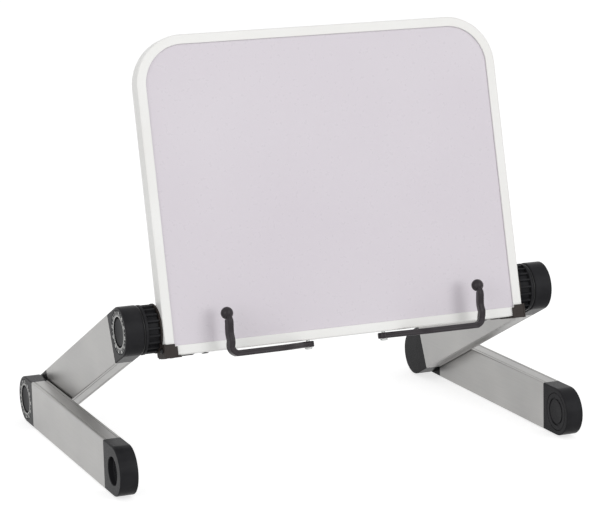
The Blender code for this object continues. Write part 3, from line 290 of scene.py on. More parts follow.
finishes = {
    "lowerAluminium": anodisedAluminium("anodisedAluminiumLevel", 0.0),
    "upperAluminium": anodisedAluminium("anodisedAluminiumSloped", armRaise),
    **{name: grainedSurface(name) for name in grainedFinishes},
    "etchedAbsCover": etchedCover(),
    "ribbedRubberPad": ribbedRubber(),
}
print("stand: finishes made,", len(finishes))


# Surfaces: grids of points in mm whose columns close on themselves, joined into closed shells. Outlines stand
# across the x axis, or across y or z where ringStack is given one of these orders

alongY = (1, 0, 2)
alongZ = (1, 2, 0)


def shellFaces(points, wrapRows):
    # Quads between neighbouring rows; open ends get a fan of triangles round their middle point
    rows, columns = points.shape[:2]
    index = np.arange(rows * columns).reshape(rows, columns)
    lower = index if wrapRows else index[:-1]
    upper = np.roll(index, -1, 0) if wrapRows else index[1:]
    quads = np.stack([lower, np.roll(lower, -1, 1), np.roll(upper, -1, 1), upper], -1).reshape(-1, 4)
    corners = points.reshape(-1, 3)
    if wrapRows:
        return corners, quads, np.zeros((0, 3), int)
    corners = np.concatenate([corners, points[0].mean(0)[None], points[-1].mean(0)[None]])
    total = rows * columns
    first, last = index[0], index[-1]
    startFan = np.stack([np.roll(first, -1), first, np.full(columns, total)], -1)
    endFan = np.stack([last, np.roll(last, -1), np.full(columns, total + 1)], -1)
    return corners, quads, np.concatenate([startFan, endFan])


def signedVolume(corners, quads, triangles):
    # Sum of the tetrahedra from the origin to each triangle; negative where the faces point inwards
    halves = np.concatenate([quads[:, [0, 1, 2]], quads[:, [0, 2, 3]], triangles])
    a, b, c = (corners[halves[:, i]] - corners.mean(0) for i in range(3))
    return float(np.einsum("ij,ij->i", a, np.cross(b, c)).sum() / 6)


def shellsToMesh(name, shells):
    # Each shell is (grid of points, whether its rows close as well)
    allCorners, allFaces, offset = [], [], 0
    for points, wrapRows in shells:
        corners, quads, triangles = shellFaces(points, wrapRows)
        if signedVolume(corners, quads, triangles) < 0:
            quads, triangles = quads[:, ::-1], triangles[:, ::-1]
        allCorners.append(corners)
        allFaces += (quads + offset).tolist() + (triangles + offset).tolist()
        offset += len(corners)
    mesh = bpy.data.meshes.new(name)
    mesh.from_pydata(np.concatenate(allCorners).tolist(), [], allFaces)
    mesh.update()
    return mesh


def addObject(name, data):
    # A new object at the origin, in the scene's own collection
    thing = bpy.data.objects.new(name, data)
    bpy.context.scene.collection.objects.link(thing)
    return thing


def finishPiece(mesh, finish, body, nodes=(), sharpDegrees=32, weighted=True):
    # Smooth shading between near faces, the finish, the body it rides on and the nodes it stands for
    mesh.materials.append(finishes[finish])
    mesh.shade_smooth()
    mesh.set_sharp_from_angle(angle=math.radians(sharpDegrees))
    piece = addObject(mesh.name, mesh)
    if weighted:
        modifier = piece.modifiers.new("faceWeights", "WEIGHTED_NORMAL")
        modifier.keep_sharp = True
        modifier.weight = 60
    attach(piece, body)
    if nodes:
        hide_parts(*nodes)
    return piece


def setDown(points, spot, side):
    # Turns local points in mm about +X, moves them to the spot in metres and mirrors x for the left-hand side
    turn, at = spots[spot]
    c, s = math.cos(turn), math.sin(turn)
    x, y, z = np.moveaxis(points * mm, -1, 0)
    return np.stack([x * side, y * c - z * s + at[1], y * s + z * c + at[2]], -1)


def shellPiece(node, name, shells, spot, side, finish, body, sharpDegrees=32):
    # Shells of a local frame set down, joined and finished in place of a node, whose name fills the braces
    placed = [(setDown(points, spot, side), wrap) for points, wrap in shells]
    mesh = shellsToMesh(name.format(node), placed)
    finishPiece(mesh, finish, body, [node], sharpDegrees)


def ringStack(rings, order=(0, 1, 2)):
    # Rings are (place along an axis, complex outline across it); order makes these three numbers x, y and z
    rows = [np.stack([np.broadcast_to(at, line.shape), line.real, line.imag], -1) for at, line in rings]
    return np.stack(rows)[..., order]


def circleLine(radius, count=96):
    # Radius times the unit circle
    return radius * np.exp(1j * np.arange(count) / count * math.tau)


def circleRings(rows, count=96):
    # Rings from rows of (x, radius)
    return [(x, circleLine(radius, count)) for x, radius in rows]


def softRectangle(reachX, reachY, corner, spin):
    # Each point is a corner's centre, by the signs of its direction, plus a small circle
    line = reachX * np.sign(spin.real) + corner * spin.real
    return line + 1j * (reachY * np.sign(spin.imag) + corner * spin.imag)


def smoothStep(share):
    # 3 t squared less 2 t cubed, for t held between 0 and 1
    t = np.clip(share, 0, 1)
    return t * t * (3 - 2 * t)


def roundedSteps(width, steps=5):
    # Quarter round as (distance in from the edge, distance down from the face)
    t = np.linspace(0, math.pi / 2, steps)
    return list(zip(width * (1 - np.sin(t)), width * (1 - np.cos(t))))


# Caps

capLook = {
    "radius": 21.995,
    "straight": 24,
    "edge": 1.1,
    "pocket": 19.3,
    "pocketDepth": 1.0,
    "bore": 13.2,
    "web": (6.5, 8.5),
    "webRoot": 0.15,
    "cavity": 16.0,
    "recess": 12.5,
    "recessDepth": 5.0,
    "seat": 17.5,
    "seatDepth": 3.3,
    "seatSoft": 0.2,
    "spigot": 13,
    "spigotInset": 1.9,
    "spigotCorner": 1.5,
    "spigotEase": 0.8,
    "spigotTip": 0.93,
    "postSlot": (7.2, math.radians(17)),
    "webHole": 3.4,
    "socketDepth": 8.0,
    "boltHole": (3.3, 4.6),
    "soft": 0.25,
    "recessSoft": 0.5,
}


def capLine(nose, inset):
    # D-shaped outline: a half circle, a straight run to the tube's border, the border, and back
    radius = capLook["radius"] - inset
    border = -nose * capLook["straight"]
    arc = np.linspace(-math.pi / 2, math.pi / 2, 97)
    noseLine = nose * radius * np.cos(arc) + 1j * radius * np.sin(arc)
    out = np.linspace(0, 1, 13)[1:]
    topLine = border * out + 1j * radius
    across = np.linspace(1, -1, 17)[1:]
    borderLine = border + 1j * radius * across
    bottomLine = border * (1 - out[:-1]) - 1j * radius
    return np.concatenate([noseLine, topLine, borderLine, bottomLine])


def capRings(nose, rows):
    # Rings from rows of (x, radius), with points at the outline's own angles, so that faces run straight
    spin = np.exp(1j * np.angle(capLine(nose, 0)))
    return [(x, radius * spin) for x, radius in rows]


def capSkin(nose, outerX, innerX):
    # From the outer face over the rounded edge, along the side and round to the inner face
    steps = roundedSteps(capLook["edge"])
    outer = [(outerX - down, capLine(nose, inset)) for inset, down in steps]
    inner = [(innerX + down, capLine(nose, inset)) for inset, down in reversed(steps)]
    return outer + inner


def spigotShell(nose, outerX, innerX):
    # Rounded plug that fills the end of the tube behind the border; turned a little, as no sign may be 0
    radius, straight, inset, corner = pick(capLook, "radius straight spigotInset spigotCorner")
    length, ease, tip = pick(capLook, "spigot spigotEase spigotTip")
    spin = np.exp(1j * (np.arange(64) / 64 * math.tau + 0.01))
    line = softRectangle((outerX - innerX) / 2 - inset - corner, radius - inset - corner, corner, spin)
    middle = (outerX + innerX) / 2
    start, end = -nose * (straight - ease / 2), -nose * (straight + length)
    rows = ((start, 1.0), (end + nose * ease, 1.0), (end, tip))
    return ringStack([(y, middle + line * shrink) for y, shrink in rows], alongY)


def webShell(outerX):
    # Slotted web between bore and cavity: its rim drops to a smaller radius near each post's angle
    web, bore, root, hole, (slotRadius, slotHalf) = pick(capLook, "web bore webRoot webHole postSlot")
    angles = np.arange(180) / 180 * math.tau
    fromPost = np.abs((angles - math.pi / 2 + math.pi / 3) % (math.tau / 3) - math.pi / 3)
    rim = np.where(fromPost < slotHalf, slotRadius, bore + root)
    spin = np.exp(1j * angles)
    high, low = outerX - web[0], outerX - web[1]
    return ringStack([(low, hole * spin), (high, hole * spin), (high, rim * spin), (low, rim * spin)])


def dialCapShells(nose, outerX, innerX):
    # Up the bore, over the dial's pocket, down the skin and up the cavity; every step is a ring at one x
    bore, pocket, cavity, soft, depth, web = pick(capLook, "bore pocket cavity soft pocketDepth web")
    floor, webLow = outerX - depth, outerX - web[1]
    rings = capRings(nose, [
        (webLow, bore), (floor - soft, bore), (floor, bore + soft),
        (floor, pocket), (outerX - soft, pocket), (outerX, pocket + soft),
    ])
    rings += capSkin(nose, outerX, innerX)
    rings += capRings(nose, [(innerX, cavity + soft), (innerX + soft, cavity), (webLow, cavity)])
    return [(ringStack(rings), True), (webShell(outerX), True), (spigotShell(nose, outerX, innerX), False)]


def socketCapShells(nose, outerX, innerX):
    # Across the inner face, up the skin, down the cavity to its floor and down the bolt's hole
    cavity, soft, depth, (hole, holeDepth) = pick(capLook, "cavity soft socketDepth boltHole")
    floor = outerX - depth
    rings = capRings(nose, [(innerX, 4), (innerX, 17)])
    rings += capSkin(nose, outerX, innerX)[::-1]
    rings += capRings(nose, [
        (outerX, cavity + soft), (outerX - soft, cavity), (floor, cavity),
        (floor, hole), (floor - holeDepth, hole),
    ])
    return [(ringStack(rings), False), (spigotShell(nose, outerX, innerX), False)]


def frontCapShells(nose, outerX, innerX):
    # From the round recess's floor up its eased wall, down the skin and into the disc's seat
    recess, soft, depth = pick(capLook, "recess recessSoft recessDepth")
    seat, seatDepth, fine = pick(capLook, "seat seatDepth seatSoft")
    floor, seatX = outerX - depth, innerX + seatDepth
    rings = capRings(nose, [
        (floor, 4), (floor, recess - soft), (floor + soft, recess),
        (outerX - soft, recess), (outerX, recess + soft),
    ])
    rings += capSkin(nose, outerX, innerX)
    rings += capRings(nose, [(innerX, seat + fine), (innerX + fine, seat), (seatX, seat), (seatX, 5)])
    return [(ringStack(rings), False), (spigotShell(nose, outerX, innerX), False)]


caps = {
    # label: shells, nose direction, spot, x span, body ending
    "lower_rear_cap": (dialCapShells, 1, "lowerRear", lowerX, "lower_arm"),
    "upper_front_cap": (dialCapShells, -1, "upperFront", upperX, "upper_arm"),
    "upper_rear_cap": (socketCapShells, 1, "upperRear", upperX, "upper_arm"),
    "lower_front_cap": (frontCapShells, -1, "lowerFront", lowerX, "lower_arm"),
}
for sideName, side in sides.items():
    for label, (makeShells, nose, spot, (innerX, outerX), body) in caps.items():
        node, body = f"{sideName}_{label}", f"{sideName}_{body}"
        shells = makeShells(nose, outerX, innerX)
        shellPiece(node, "{}_skin", shells, spot, side, "blackNylonMoulded", body)
print("stand: arm caps made")


# Arm tubes

tubeLook = {
    "halfHeight": 22,
    "wall": 1.6,
    "corner": 1.0,
    "grooveInset": 2.6,
    "grooveWidth": 0.9,
    "grooveDepth": 0.5,
    "grooveSoft": 0.12,
    "endSoft": 0.15,
    "gapAtCap": 0.3,
}


def tubeQuarter(halfWidth, shrink):
    # Upper right quarter of the section: side, rounded corner, top with its groove
    top, corner = pick(tubeLook, "halfHeight corner")
    inset, width, depth, share = pick(tubeLook, "grooveInset grooveWidth grooveDepth grooveSoft")
    outer, soft, bottom = halfWidth - inset, width * share, top - depth
    steps = soft * np.arange(3)
    t = np.linspace(0, math.pi / 2, 7)
    grooveX = [outer - steps, (outer - width + steps)[::-1]]
    grooveZ = [top, top - soft, bottom, bottom, top - soft, top]
    x = np.concatenate([halfWidth - corner + corner * np.cos(t), *grooveX])
    z = np.concatenate([top - corner + corner * np.sin(t), grooveZ])
    return x - shrink * np.sign(x) + 1j * (z - shrink * np.sign(z))


def tubeLine(halfWidth, shrink=0.0):
    # The quarter, its mirror image across the middle, and both turned half round
    quarter = tubeQuarter(halfWidth, shrink)
    upper = np.concatenate([quarter, -quarter.conj()[::-1]])
    return np.concatenate([upper, -upper])


def tubeGrid(innerX, outerX):
    # The section carried along the tube: outside, both ends, and back along the hollow
    half, middle = (outerX - innerX) / 2, (outerX + innerX) / 2
    halfHeight, wall, gap, soft = pick(tubeLook, "halfHeight wall gapAtCap endSoft")
    rear = -(capLook["straight"] + gap)
    front = -(armLength / mm + rear)
    outer, eased = tubeLine(half), tubeLine(half, soft)
    hollow = outer.real * (1 - wall / half) + 1j * outer.imag * (1 - wall / halfHeight)
    rows = [(rear, eased), (rear - soft, outer), (front + soft, outer)]
    rows += [(front, eased), (front, hollow), (rear, hollow)]
    return ringStack([(y, middle + line) for y, line in rows], alongY)


for sideName, side in sides.items():
    for label, span in (("lower", lowerX), ("upper", upperX)):
        node, shells = f"{sideName}_{label}_tube", [(tubeGrid(*span), True)]
        spot, finish, body = f"{label}Rear", f"{label}Aluminium", f"{sideName}_{label}_arm"
        shellPiece(node, "{}_skin", shells, spot, side, finish, body)
print("stand: arm tubes made")


# Dials, buttons, washers and the lower arms' ringed discs

dialLook = {
    "inner": 13.5,
    "outer": 19.0,
    "thick": 0.6,
    "under": 0.08,
    "soft": 0.12,
    "numerals": ("0", "15", "30", "45", "60", "75", "90", "75", "60", "45", "30", "15"),
    "numeralSize": 3.4,
    "numeralBold": 0.1,
    "numeralRadius": 17.1,
    "ink": 0.05,
    "inkSunk": 0.02,
    "lineInk": 0.6,
    "circle": (13.65, 14.15),
    "ticks": 96,
    "tick": (14.3, 15.5, 0.2),
    "midTick": (15.9, 18.2, 0.2),
}


def dialGrid(faceX):
    # A flat ring whose face has eased rims
    inner, outer, thick, soft = pick(dialLook, "inner outer thick soft")
    low = faceX - thick
    return ringStack(circleRings([
        (low, inner), (faceX - soft, inner), (faceX, inner + soft),
        (faceX, outer - soft), (faceX - soft, outer), (low, outer),
    ]))


def radialBar(faceX, angle, inner, outer, halfWidth, height):
    # A flat bar of ink from one radius to another, as a four-sided ring stack
    reach = np.exp(1j * angle)
    line = np.array([inner, outer, outer, inner]) + 1j * halfWidth * np.array([1, 1, -1, -1])
    return ringStack([(faceX, line * reach), (faceX + height, line * reach)])


def numeralMesh(text, size, height, bold):
    # A numeral of the built-in font, thickened and made into a small closed mesh at the origin, in metres
    curve = bpy.data.curves.new("numeral", "FONT")
    curve.body, curve.size = text, size
    curve.align_x = curve.align_y = "CENTER"
    curve.extrude = height / 2
    curve.offset = bold
    curve.resolution_u = 4
    maker = addObject("numeral", curve)
    evaluated = maker.evaluated_get(bpy.context.evaluated_depsgraph_get())
    mesh = bpy.data.meshes.new_from_object(evaluated)
    bpy.data.objects.remove(maker, do_unlink=True)
    bpy.data.curves.remove(curve)
    return mesh


def dialInk(name, faceX, spot, side):
    # Numerals every 30 degrees, a bar between them, fine ticks inside and one circle round the button
    height, sunk, share, count, (inner, outer) = pick(dialLook, "ink inkSunk lineInk ticks circle")
    base, rise = faceX - sunk, height * share
    top = base + rise
    shells = [(ringStack(circleRings([(base, inner), (top, inner), (top, outer), (base, outer)])), True)]
    for index in range(count):
        angle = math.tau * index / count
        shells.append((radialBar(base, angle, *dialLook["tick"], rise), False))
        if index % 8 == 4:
            shells.append((radialBar(base, angle, *dialLook["midTick"], rise), False))
    mesh = shellsToMesh(name, [(setDown(points, spot, side), wrap) for points, wrap in shells])
    bm = bmesh.new()
    bm.from_mesh(mesh)
    numerals, size, bold, radius = pick(dialLook, "numerals numeralSize numeralBold numeralRadius")
    for index, text in enumerate(numerals):
        numeral = numeralMesh(text, size * mm, height * mm, bold * mm)
        flat = np.zeros(len(numeral.vertices) * 3)
        numeral.vertices.foreach_get("co", flat)
        flat = flat.reshape(-1, 3) / mm
        clockwise = math.tau * index / len(numerals)
        # Seen from outside the reading direction runs towards +Y on the right-hand side
        radial = np.array([math.sin(clockwise) * side, math.cos(clockwise)])
        along = np.array([math.cos(clockwise) * side, -math.sin(clockwise)])
        yz = flat[:, :1] * along + (radius + flat[:, 1:2]) * radial
        local = np.stack([base + height / 2 + flat[:, 2], yz[:, 0], yz[:, 1]], -1)
        numeral.vertices.foreach_set("co", setDown(local, spot, side).ravel())
        bm.from_mesh(numeral)
        bpy.data.meshes.remove(numeral)
    bmesh.ops.remove_doubles(bm, verts=bm.verts, dist=weldReach)
    bmesh.ops.recalc_face_normals(bm, faces=bm.faces)
    bm.to_mesh(mesh)
    bm.free()
    return mesh


buttonLook = {
    "radius": 12.1,
    "below": 0.75,
    "thick": 2.85,
    "dish": 0.35,
    "bowl": (1.5, 11),
    "edge": 0.5,
    "pocket": 5.4,
    "skin": 0.85,
    "postGap": 2.8,
    "post": (7.8, 10.4, math.radians(13)),
    "postRoot": 0.1,
}


def buttonShells(faceX, postEnd):
    # A dished disc with a rounded rim, a pocket behind, and three posts
    below, thick, dish, (middle, bowl), radius = pick(buttonLook, "below thick dish bowl radius")
    edge, pocket, skin, (inner, outer, half), root = pick(buttonLook, "edge pocket skin post postRoot")
    top = faceX - below
    under = top - thick
    rows = [(top - dish * (1 - (size / bowl) ** 2), size) for size in np.linspace(middle, bowl, 7)]
    rows += [(top - down, radius - inset) for inset, down in roundedSteps(edge)]
    rows += [(under, radius), (under, pocket), (top - skin, pocket)]
    shells = [(ringStack(circleRings(rows)), False)]
    t = np.linspace(-half, half, 9)
    for index in range(3):
        turn = math.tau * index / 3 + math.pi / 2
        line = np.concatenate([outer * np.exp(1j * (turn + t)), inner * np.exp(1j * (turn - t))])
        shells.append((ringStack([(postEnd, line), (under + root, line)]), False))
    return shells


washerLook = {"start": 0.3, "end": 1.2, "inner": 17.5, "outer": 21.0, "soft": 0.12}


def washerGrid(socketX):
    # A flat ring whose outer rims are eased
    start, end, inner, outer, soft = pick(washerLook, "start end inner outer soft")
    start, end = socketX + start, socketX + end
    return ringStack(circleRings([
        (start, inner), (end, inner), (end, outer - soft),
        (end - soft, outer), (start + soft, outer), (start, outer - soft),
    ]))


discLook = {
    "radius": 17.2,
    "thick": 3.0,
    "dish": ((0.25, 2), (0.15, 6)),
    "edge": 0.4,
    "groove": (11.2, 12.8),
    "grooveDepth": 1.0,
    "soft": 0.2,
}


def discGrid(innerX):
    # A slightly dished disc with one round groove, as (x, radius) from its middle to its back
    radius, edge, soft, (low, high) = pick(discLook, "radius edge soft groove")
    back, deep = innerX + discLook["thick"], innerX + discLook["grooveDepth"]
    dish = [(innerX + sunk, size) for sunk, size in discLook["dish"]]
    return ringStack(circleRings(dish + [
        (innerX, low - soft), (innerX + soft, low), (deep, low + soft),
        (deep, high - soft), (innerX + soft, high), (innerX, high + soft),
        (innerX, radius - edge), (innerX + edge, radius), (back, radius), (back, 3),
    ]))


lockJoints = {
    # label: spot and x of the dial's face, housing body, spot and x of the socket's face, socket body
    "elbow": ("lowerRear", lowerX[1], "{}_lower_arm", "upperRear", upperX[1], "{}_upper_arm"),
    "shoulder": ("upperFront", upperX[1], "{}_upper_arm", "board", hubX[1], "board"),
}
for sideName, side in sides.items():
    for label, (spot, faceX, housing, socketSpot, socketX, socket) in lockJoints.items():
        name = f"{sideName}_{label}"
        housing, socket = housing.format(sideName), socket.format(sideName)
        dialX = faceX - dialLook["under"]
        shells = [(dialGrid(dialX), True)]
        shellPiece(f"{name}_dial", "{}_ring", shells, spot, side, "dialAbsRing", housing)
        ink = dialInk(f"{name}_dial_print", dialX, spot, side)
        finishPiece(ink, "padPrintedInk", housing, weighted=False)
        shells, body = buttonShells(faceX, socketX + buttonLook["postGap"]), f"{name}_push"
        shellPiece(f"{name}_button", "{}_skin", shells, spot, side, "satinAbsButton", body)
        shells, node = [(washerGrid(socketX), True)], f"{name}_washer"
        shellPiece(node, "{}_ring", shells, socketSpot, side, "acetalWasher", socket)
    node, name = f"{sideName}_front_cap_disc", f"{sideName}_ringed_disc"
    shells, body = [(discGrid(lowerX[0]), False)], f"{sideName}_lower_arm"
    shellPiece(node, name, shells, "lowerFront", side, "blackNylonMoulded", body)
print("stand: dials, buttons, washers and discs made")


# Ribbed hubs

hubLook = {
    "ribs": 20,
    "rim": 21.7,
    "tip": 21.1,
    "core": 18.2,
    "rimWidth": 2.6,
    "edge": 0.7,
    "cavity": 16.0,
    "floor": 4.0,
    "hole": 3.3,
    "soft": 0.3,
    "ribShare": 0.29,
    "easeShare": 0.06,
}
ribPoints = 24  # points of the outline along one rib and its gap


def ribbedLine(shrink=0.0):
    # Radius swings between core and tip once per rib, with short eased flanks
    ribs, core, tip, share, ease = pick(hubLook, "ribs core tip ribShare easeShare")
    angles = np.arange(ribs * ribPoints) / (ribs * ribPoints) * math.tau
    phase = np.abs((angles / math.tau * ribs + 0.5) % 1 - 0.5) * 2
    rise = smoothStep((share + ease - phase) / (2 * ease))
    return (core + (tip - core) * rise - shrink) * np.exp(1j * angles)


def hubGrid(innerX, outerX):
    # Over the floor, the ribbed barrel and the round rim, then down the open cavity
    hole, rim, cavity, soft, rounding = pick(hubLook, "hole rim cavity soft edge")
    floorX, rimX = innerX + hubLook["floor"], outerX - hubLook["rimWidth"]
    count = hubLook["ribs"] * ribPoints
    rings = circleRings([(floorX, hole), (innerX, hole)], count)
    rings += [(innerX, ribbedLine(soft)), (innerX + soft, ribbedLine()), (rimX, ribbedLine())]
    edge = [(outerX - down, rim - inset) for inset, down in reversed(roundedSteps(rounding))]
    inside = [(outerX, cavity + soft), (outerX - soft, cavity), (floorX, cavity)]
    rings += circleRings([(rimX, rim - soft), (rimX + soft, rim)] + edge + inside, count)
    return ringStack(rings)


for sideName, side in sides.items():
    node, name, shells = f"{sideName}_hub", f"{sideName}_ribbed_hub", [(hubGrid(*hubX), True)]
    shellPiece(node, name, shells, "board", side, "blackNylonMoulded", "board")
print("stand: hubs made")


# Board: frame moulding and back cover

boardLook = {
    "half": 170,
    "bottom": -25,
    "top": 248.97,
    "corner": 44,
    "front": -23.2,
    "thick": 15,
    "lip": 8.5,
    "lipThick": 1.4,
    "wall": 5.5,
    "sideLine": (10.9, 11.6, 0.3),
    "lineSlope": 0.15,
    "edge": 1.3,
    "lipEdge": 0.45,
    "backEdge": 1.0,
    "wallEase": 0.3,
}


def boardLine(inset, foot=0.6):
    # Outline seen from the front as x + iz: small foot corners below, large round corners above
    half, bottom, top, corner = pick(boardLook, "half bottom top corner")
    small = max(foot - inset, 0.05)
    footCentre = (half - inset - small) + 1j * (bottom + inset + small)
    topCentre = (half - corner) + 1j * (top - corner)
    lower, upper = (np.exp(1j * np.linspace(0, math.pi / 2, count)) for count in (6, 41))
    rightHalf = np.concatenate([footCentre - 1j * small * lower, topCentre + (corner - inset) * upper])
    return np.concatenate([rightHalf, -rightHalf.conj()[::-1]])


def boardStack(section, lineOf=boardLine):
    # Section points (inset, depth behind the front face) carried round the outline
    return ringStack([(boardLook["front"] + depth, lineOf(inset)) for inset, depth in section], alongY)


def frameSection():
    # A fine groove round the side, the outer edge, the lip, the wall's inner side and the back edge
    lip, lipThick, wall, thick, slope = pick(boardLook, "lip lipThick wall thick lineSlope")
    edge, lipEdge, backEdge, ease = pick(boardLook, "edge lipEdge backEdge wallEase")
    near, far, sunk = boardLook["sideLine"]
    section = [(0.0, far), (sunk, far - slope), (sunk, near + slope), (0.0, near)]
    section += [(down, inset) for inset, down in roundedSteps(edge, 7)]
    section += [(lip - inset, down) for inset, down in roundedSteps(lipEdge)]
    section += [(lip, lipThick), (wall, lipThick), (wall, thick - ease), (wall - ease, thick)]
    return section + [(inset, thick - down) for inset, down in roundedSteps(backEdge)]


shells = [(boardStack(frameSection()), True)]
shellPiece("board_frame", "{}_moulding", shells, "board", 1, "whiteAbsMoulded", "board")

coverLook = {
    "inset": 5.8,
    "front": 5.0,
    "back": 14.7,
    "bead": (17, 19.2, 0.7),
    "soft": 0.35,
    "slope": 0.5,
    "middle": 60,
    "plain": 30,
    "foot": 3,
}


def coverSection():
    # From the panel side round the rim to the back face, with one sunk bead line, then in to the middle
    inset, front, back, (start, end, deep) = pick(coverLook, "inset front back bead")
    soft, slope, middle = pick(coverLook, "soft slope middle")
    return [
        (middle, front), (inset + soft, front), (inset, front + soft), (inset, back - soft),
        (inset + soft, back), (start, back), (start + slope, back - deep), (end - slope, back - deep),
        (end, back), (middle, back),
    ]


def coverLine(inset):
    # The board's outline near its edge; further in, that of the last plain inset shrunk towards the middle
    plain, foot = pick(coverLook, "plain foot")
    half, top, bottom = pick(boardLook, "half top bottom")
    if inset < plain:
        return boardLine(inset, foot)
    share, middle = (inset - plain) / half, 1j * (top + bottom) / 2
    return middle + (boardLine(plain, foot) - middle) * (1 - share)


shells = [(boardStack(coverSection(), coverLine), False)]
shellPiece("back_cover", "{}_moulding", shells, "board", 1, "etchedAbsCover", "board")
print("stand: board made")


# Corner brackets: the frame's own solids with softened edges

def bracketMesh(name, node):
    # A welded copy whose flat faces are whole again, so that only true edges are softened
    bm = bmesh.new()
    bm.from_mesh(frame["nodes"][node].data)
    bmesh.ops.remove_doubles(bm, verts=bm.verts, dist=weldReach)
    bmesh.ops.dissolve_limit(bm, angle_limit=math.radians(1), verts=bm.verts, edges=bm.edges)
    mesh = bpy.data.meshes.new(name)
    bm.to_mesh(mesh)
    bm.free()
    return mesh


bracketEdge = {
    "width": 0.35 * mm,
    "segments": 3,
    "limit_method": "ANGLE",
    "angle_limit": math.radians(35),
    "harden_normals": True,
    "use_clamp_overlap": True,
}
for sideName in sides:
    node = f"{sideName}_corner_bracket"
    mesh = bracketMesh(f"{sideName}_bracket_moulding", node)
    piece = finishPiece(mesh, "darkAbsBracket", "board", [node], weighted=False)
    bevel = piece.modifiers.new("softEdges", "BEVEL")
    for key, value in bracketEdge.items():
        setattr(bevel, key, value)
print("stand: corner brackets made")


# Screws: a low pan head with a cross recess

screwLook = {
    # Shares of the head's height and radius; power is the crown's roundness
    "rimShare": 0.45,
    "power": 2.4,
    "middle": 0.985,
    "crossReach": 0.62,
    "crossWidth": 0.16,
    "crossDepth": 0.75,
    "under": 0.97,
    # Shares of the shank's radius at the tip
    "tip": (0.3, 0.75),
    # In mm: the ease of the tip and of the underside, and the length over which the dip fades
    "tipEase": 0.3,
    "underEase": 0.05,
    "fade": 0.5,
}


def screwGrid(radius, height, shank, length):
    # From the tip: shank, underside, rim and crown, a superellipse of the radius less a cross-shaped dip that
    # fades towards the ends of its arms
    rimShare, power, middle = pick(screwLook, "rimShare power middle")
    reachShare, widthShare, depthShare = pick(screwLook, "crossReach crossWidth crossDepth")
    (point, tip), under, tipEase, underEase, fadeLength = pick(screwLook, "tip under tipEase underEase fade")
    rim = length + height * rimShare
    rings = [(0.0, point * shank), (0.0, tip * shank), (tipEase, shank), (length, shank)]
    rings = circleRings(rings + [(length, radius * under), (length + underEase, radius), (rim, radius)])
    for step in np.linspace(0, 1, 30)[1:]:
        share = 1 - step * middle
        line = circleLine(share * radius)
        crown = rim + height * (1 - rimShare) * math.sqrt(max(0.0, 1 - share ** power))
        across, along = np.sort([np.abs(line.real), np.abs(line.imag)], 0)
        fade = np.clip((radius * reachShare - along) / fadeLength, 0, 1)
        dip = np.where(across < radius * widthShare, height * depthShare * fade, 0.0)
        rings.append((crown - dip, line))
    return ringStack(rings, alongZ)


screws = {
    # label: head's radius and height, shank's radius, head's seat to tip; centre in the board's frame
    "bracket_screw": ((2.4, 0.9, 1.4, 5.4), (163.2, -17.0, -20.8)),
    "side_screw": ((2.4, 1.4, 1.4, 6.0), (165.8, -18.6, -19.8)),
    "frame_screw": ((3.1, 0.9, 1.4, 4.5), (133.0, -17.0, -20.8)),
    "clip_screw": ((3.4, 1.8, 1.6, 10.8), (36.1, -13.0, -20.8)),
}
platings = {"clip_screw": ("brightZincSteel", "zinc_steel")}  # finish and slot; the others are black
for sideName, side in sides.items():
    for label, (sizes, at) in screws.items():
        grid = screwGrid(*sizes)
        # The side screw faces out, the others face down
        grid = grid[..., [2, 0, 1]] if label == "side_screw" else grid * (1, -1, -1)
        node, shells = f"{sideName}_{label}", [(grid + at, False)]
        finish, slotName = platings.get(label, ("blackZincSteel", "black_screw"))
        shellPiece(node, "{}_head", shells, "board", side, finish, "board", 40)
print("stand: screws made")


# Page clips: a strap along a smooth path, and a ball at its upper end

clipLook = {
    "pivot": (36.1, -13.0, -28.7),
    "reach": 82.4,
    "forward": 30.56,
    "depth": 8.4,
    "height": 5.2,
    "round": 1.3,
    "ball": 5.4,
    "ballBack": 0.6,
    "ballEnd": 0.49,
    "legEnd": (0.3, 0.45),  # mm back, and share of the ball's radius below its middle
    "rise": 35,
    "bend": 6.5,
    "crankReach": (0.0, 0.14, 0.26, 0.36, 0.48),
    "crankForward": (0.0, 0.27, 0.56, 0.76, 0.84),
    "legForward": (0.35, 0.80, 0.25, 0.95, 0.75),
    "legRise": (0.24, 0.34, 0.52, 0.76, 0.88),
    "legWave": 2.7,
    "eye": 5.2,
    "hole": 1.9,
    "groove": 0.18,
    "grooveHeights": (0.55, 0.25),
    "eyeSoft": 0.6,
    "thin": (0.80, 0.14, 0.3),  # share of the rise where it starts, share it takes, share of the section lost
}


def clipPath():
    # The crank, the bend at the corner and the waved leg as control points
    reach, forward, bend, rise, wave = pick(clipLook, "reach forward bend rise legWave")
    crank = zip(*pick(clipLook, "crankReach crankForward"))
    points = [np.array([reach * a, -forward * b, 0]) for a, b in crank]
    corner, up = np.array([reach, -forward, 0]), np.array([0, 0, 1.0])
    along = corner - points[-1]
    along = along / np.linalg.norm(along)
    arcStart = corner - along * bend
    points.append((points[-1] + arcStart) / 2)
    for angle in np.linspace(0, math.pi / 2, 6):
        points.append(arcStart + bend * (along * math.sin(angle) + up * (1 - math.cos(angle))))
    for outward, height in zip(*pick(clipLook, "legForward legRise")):
        points.append(corner + np.array([0, -wave * outward, rise * height]))
    ball, back, (drawn, sunk) = pick(clipLook, "ball ballBack legEnd")
    end = np.array([0, back - drawn, rise - ball * sunk])
    return np.array(points + [corner + end])


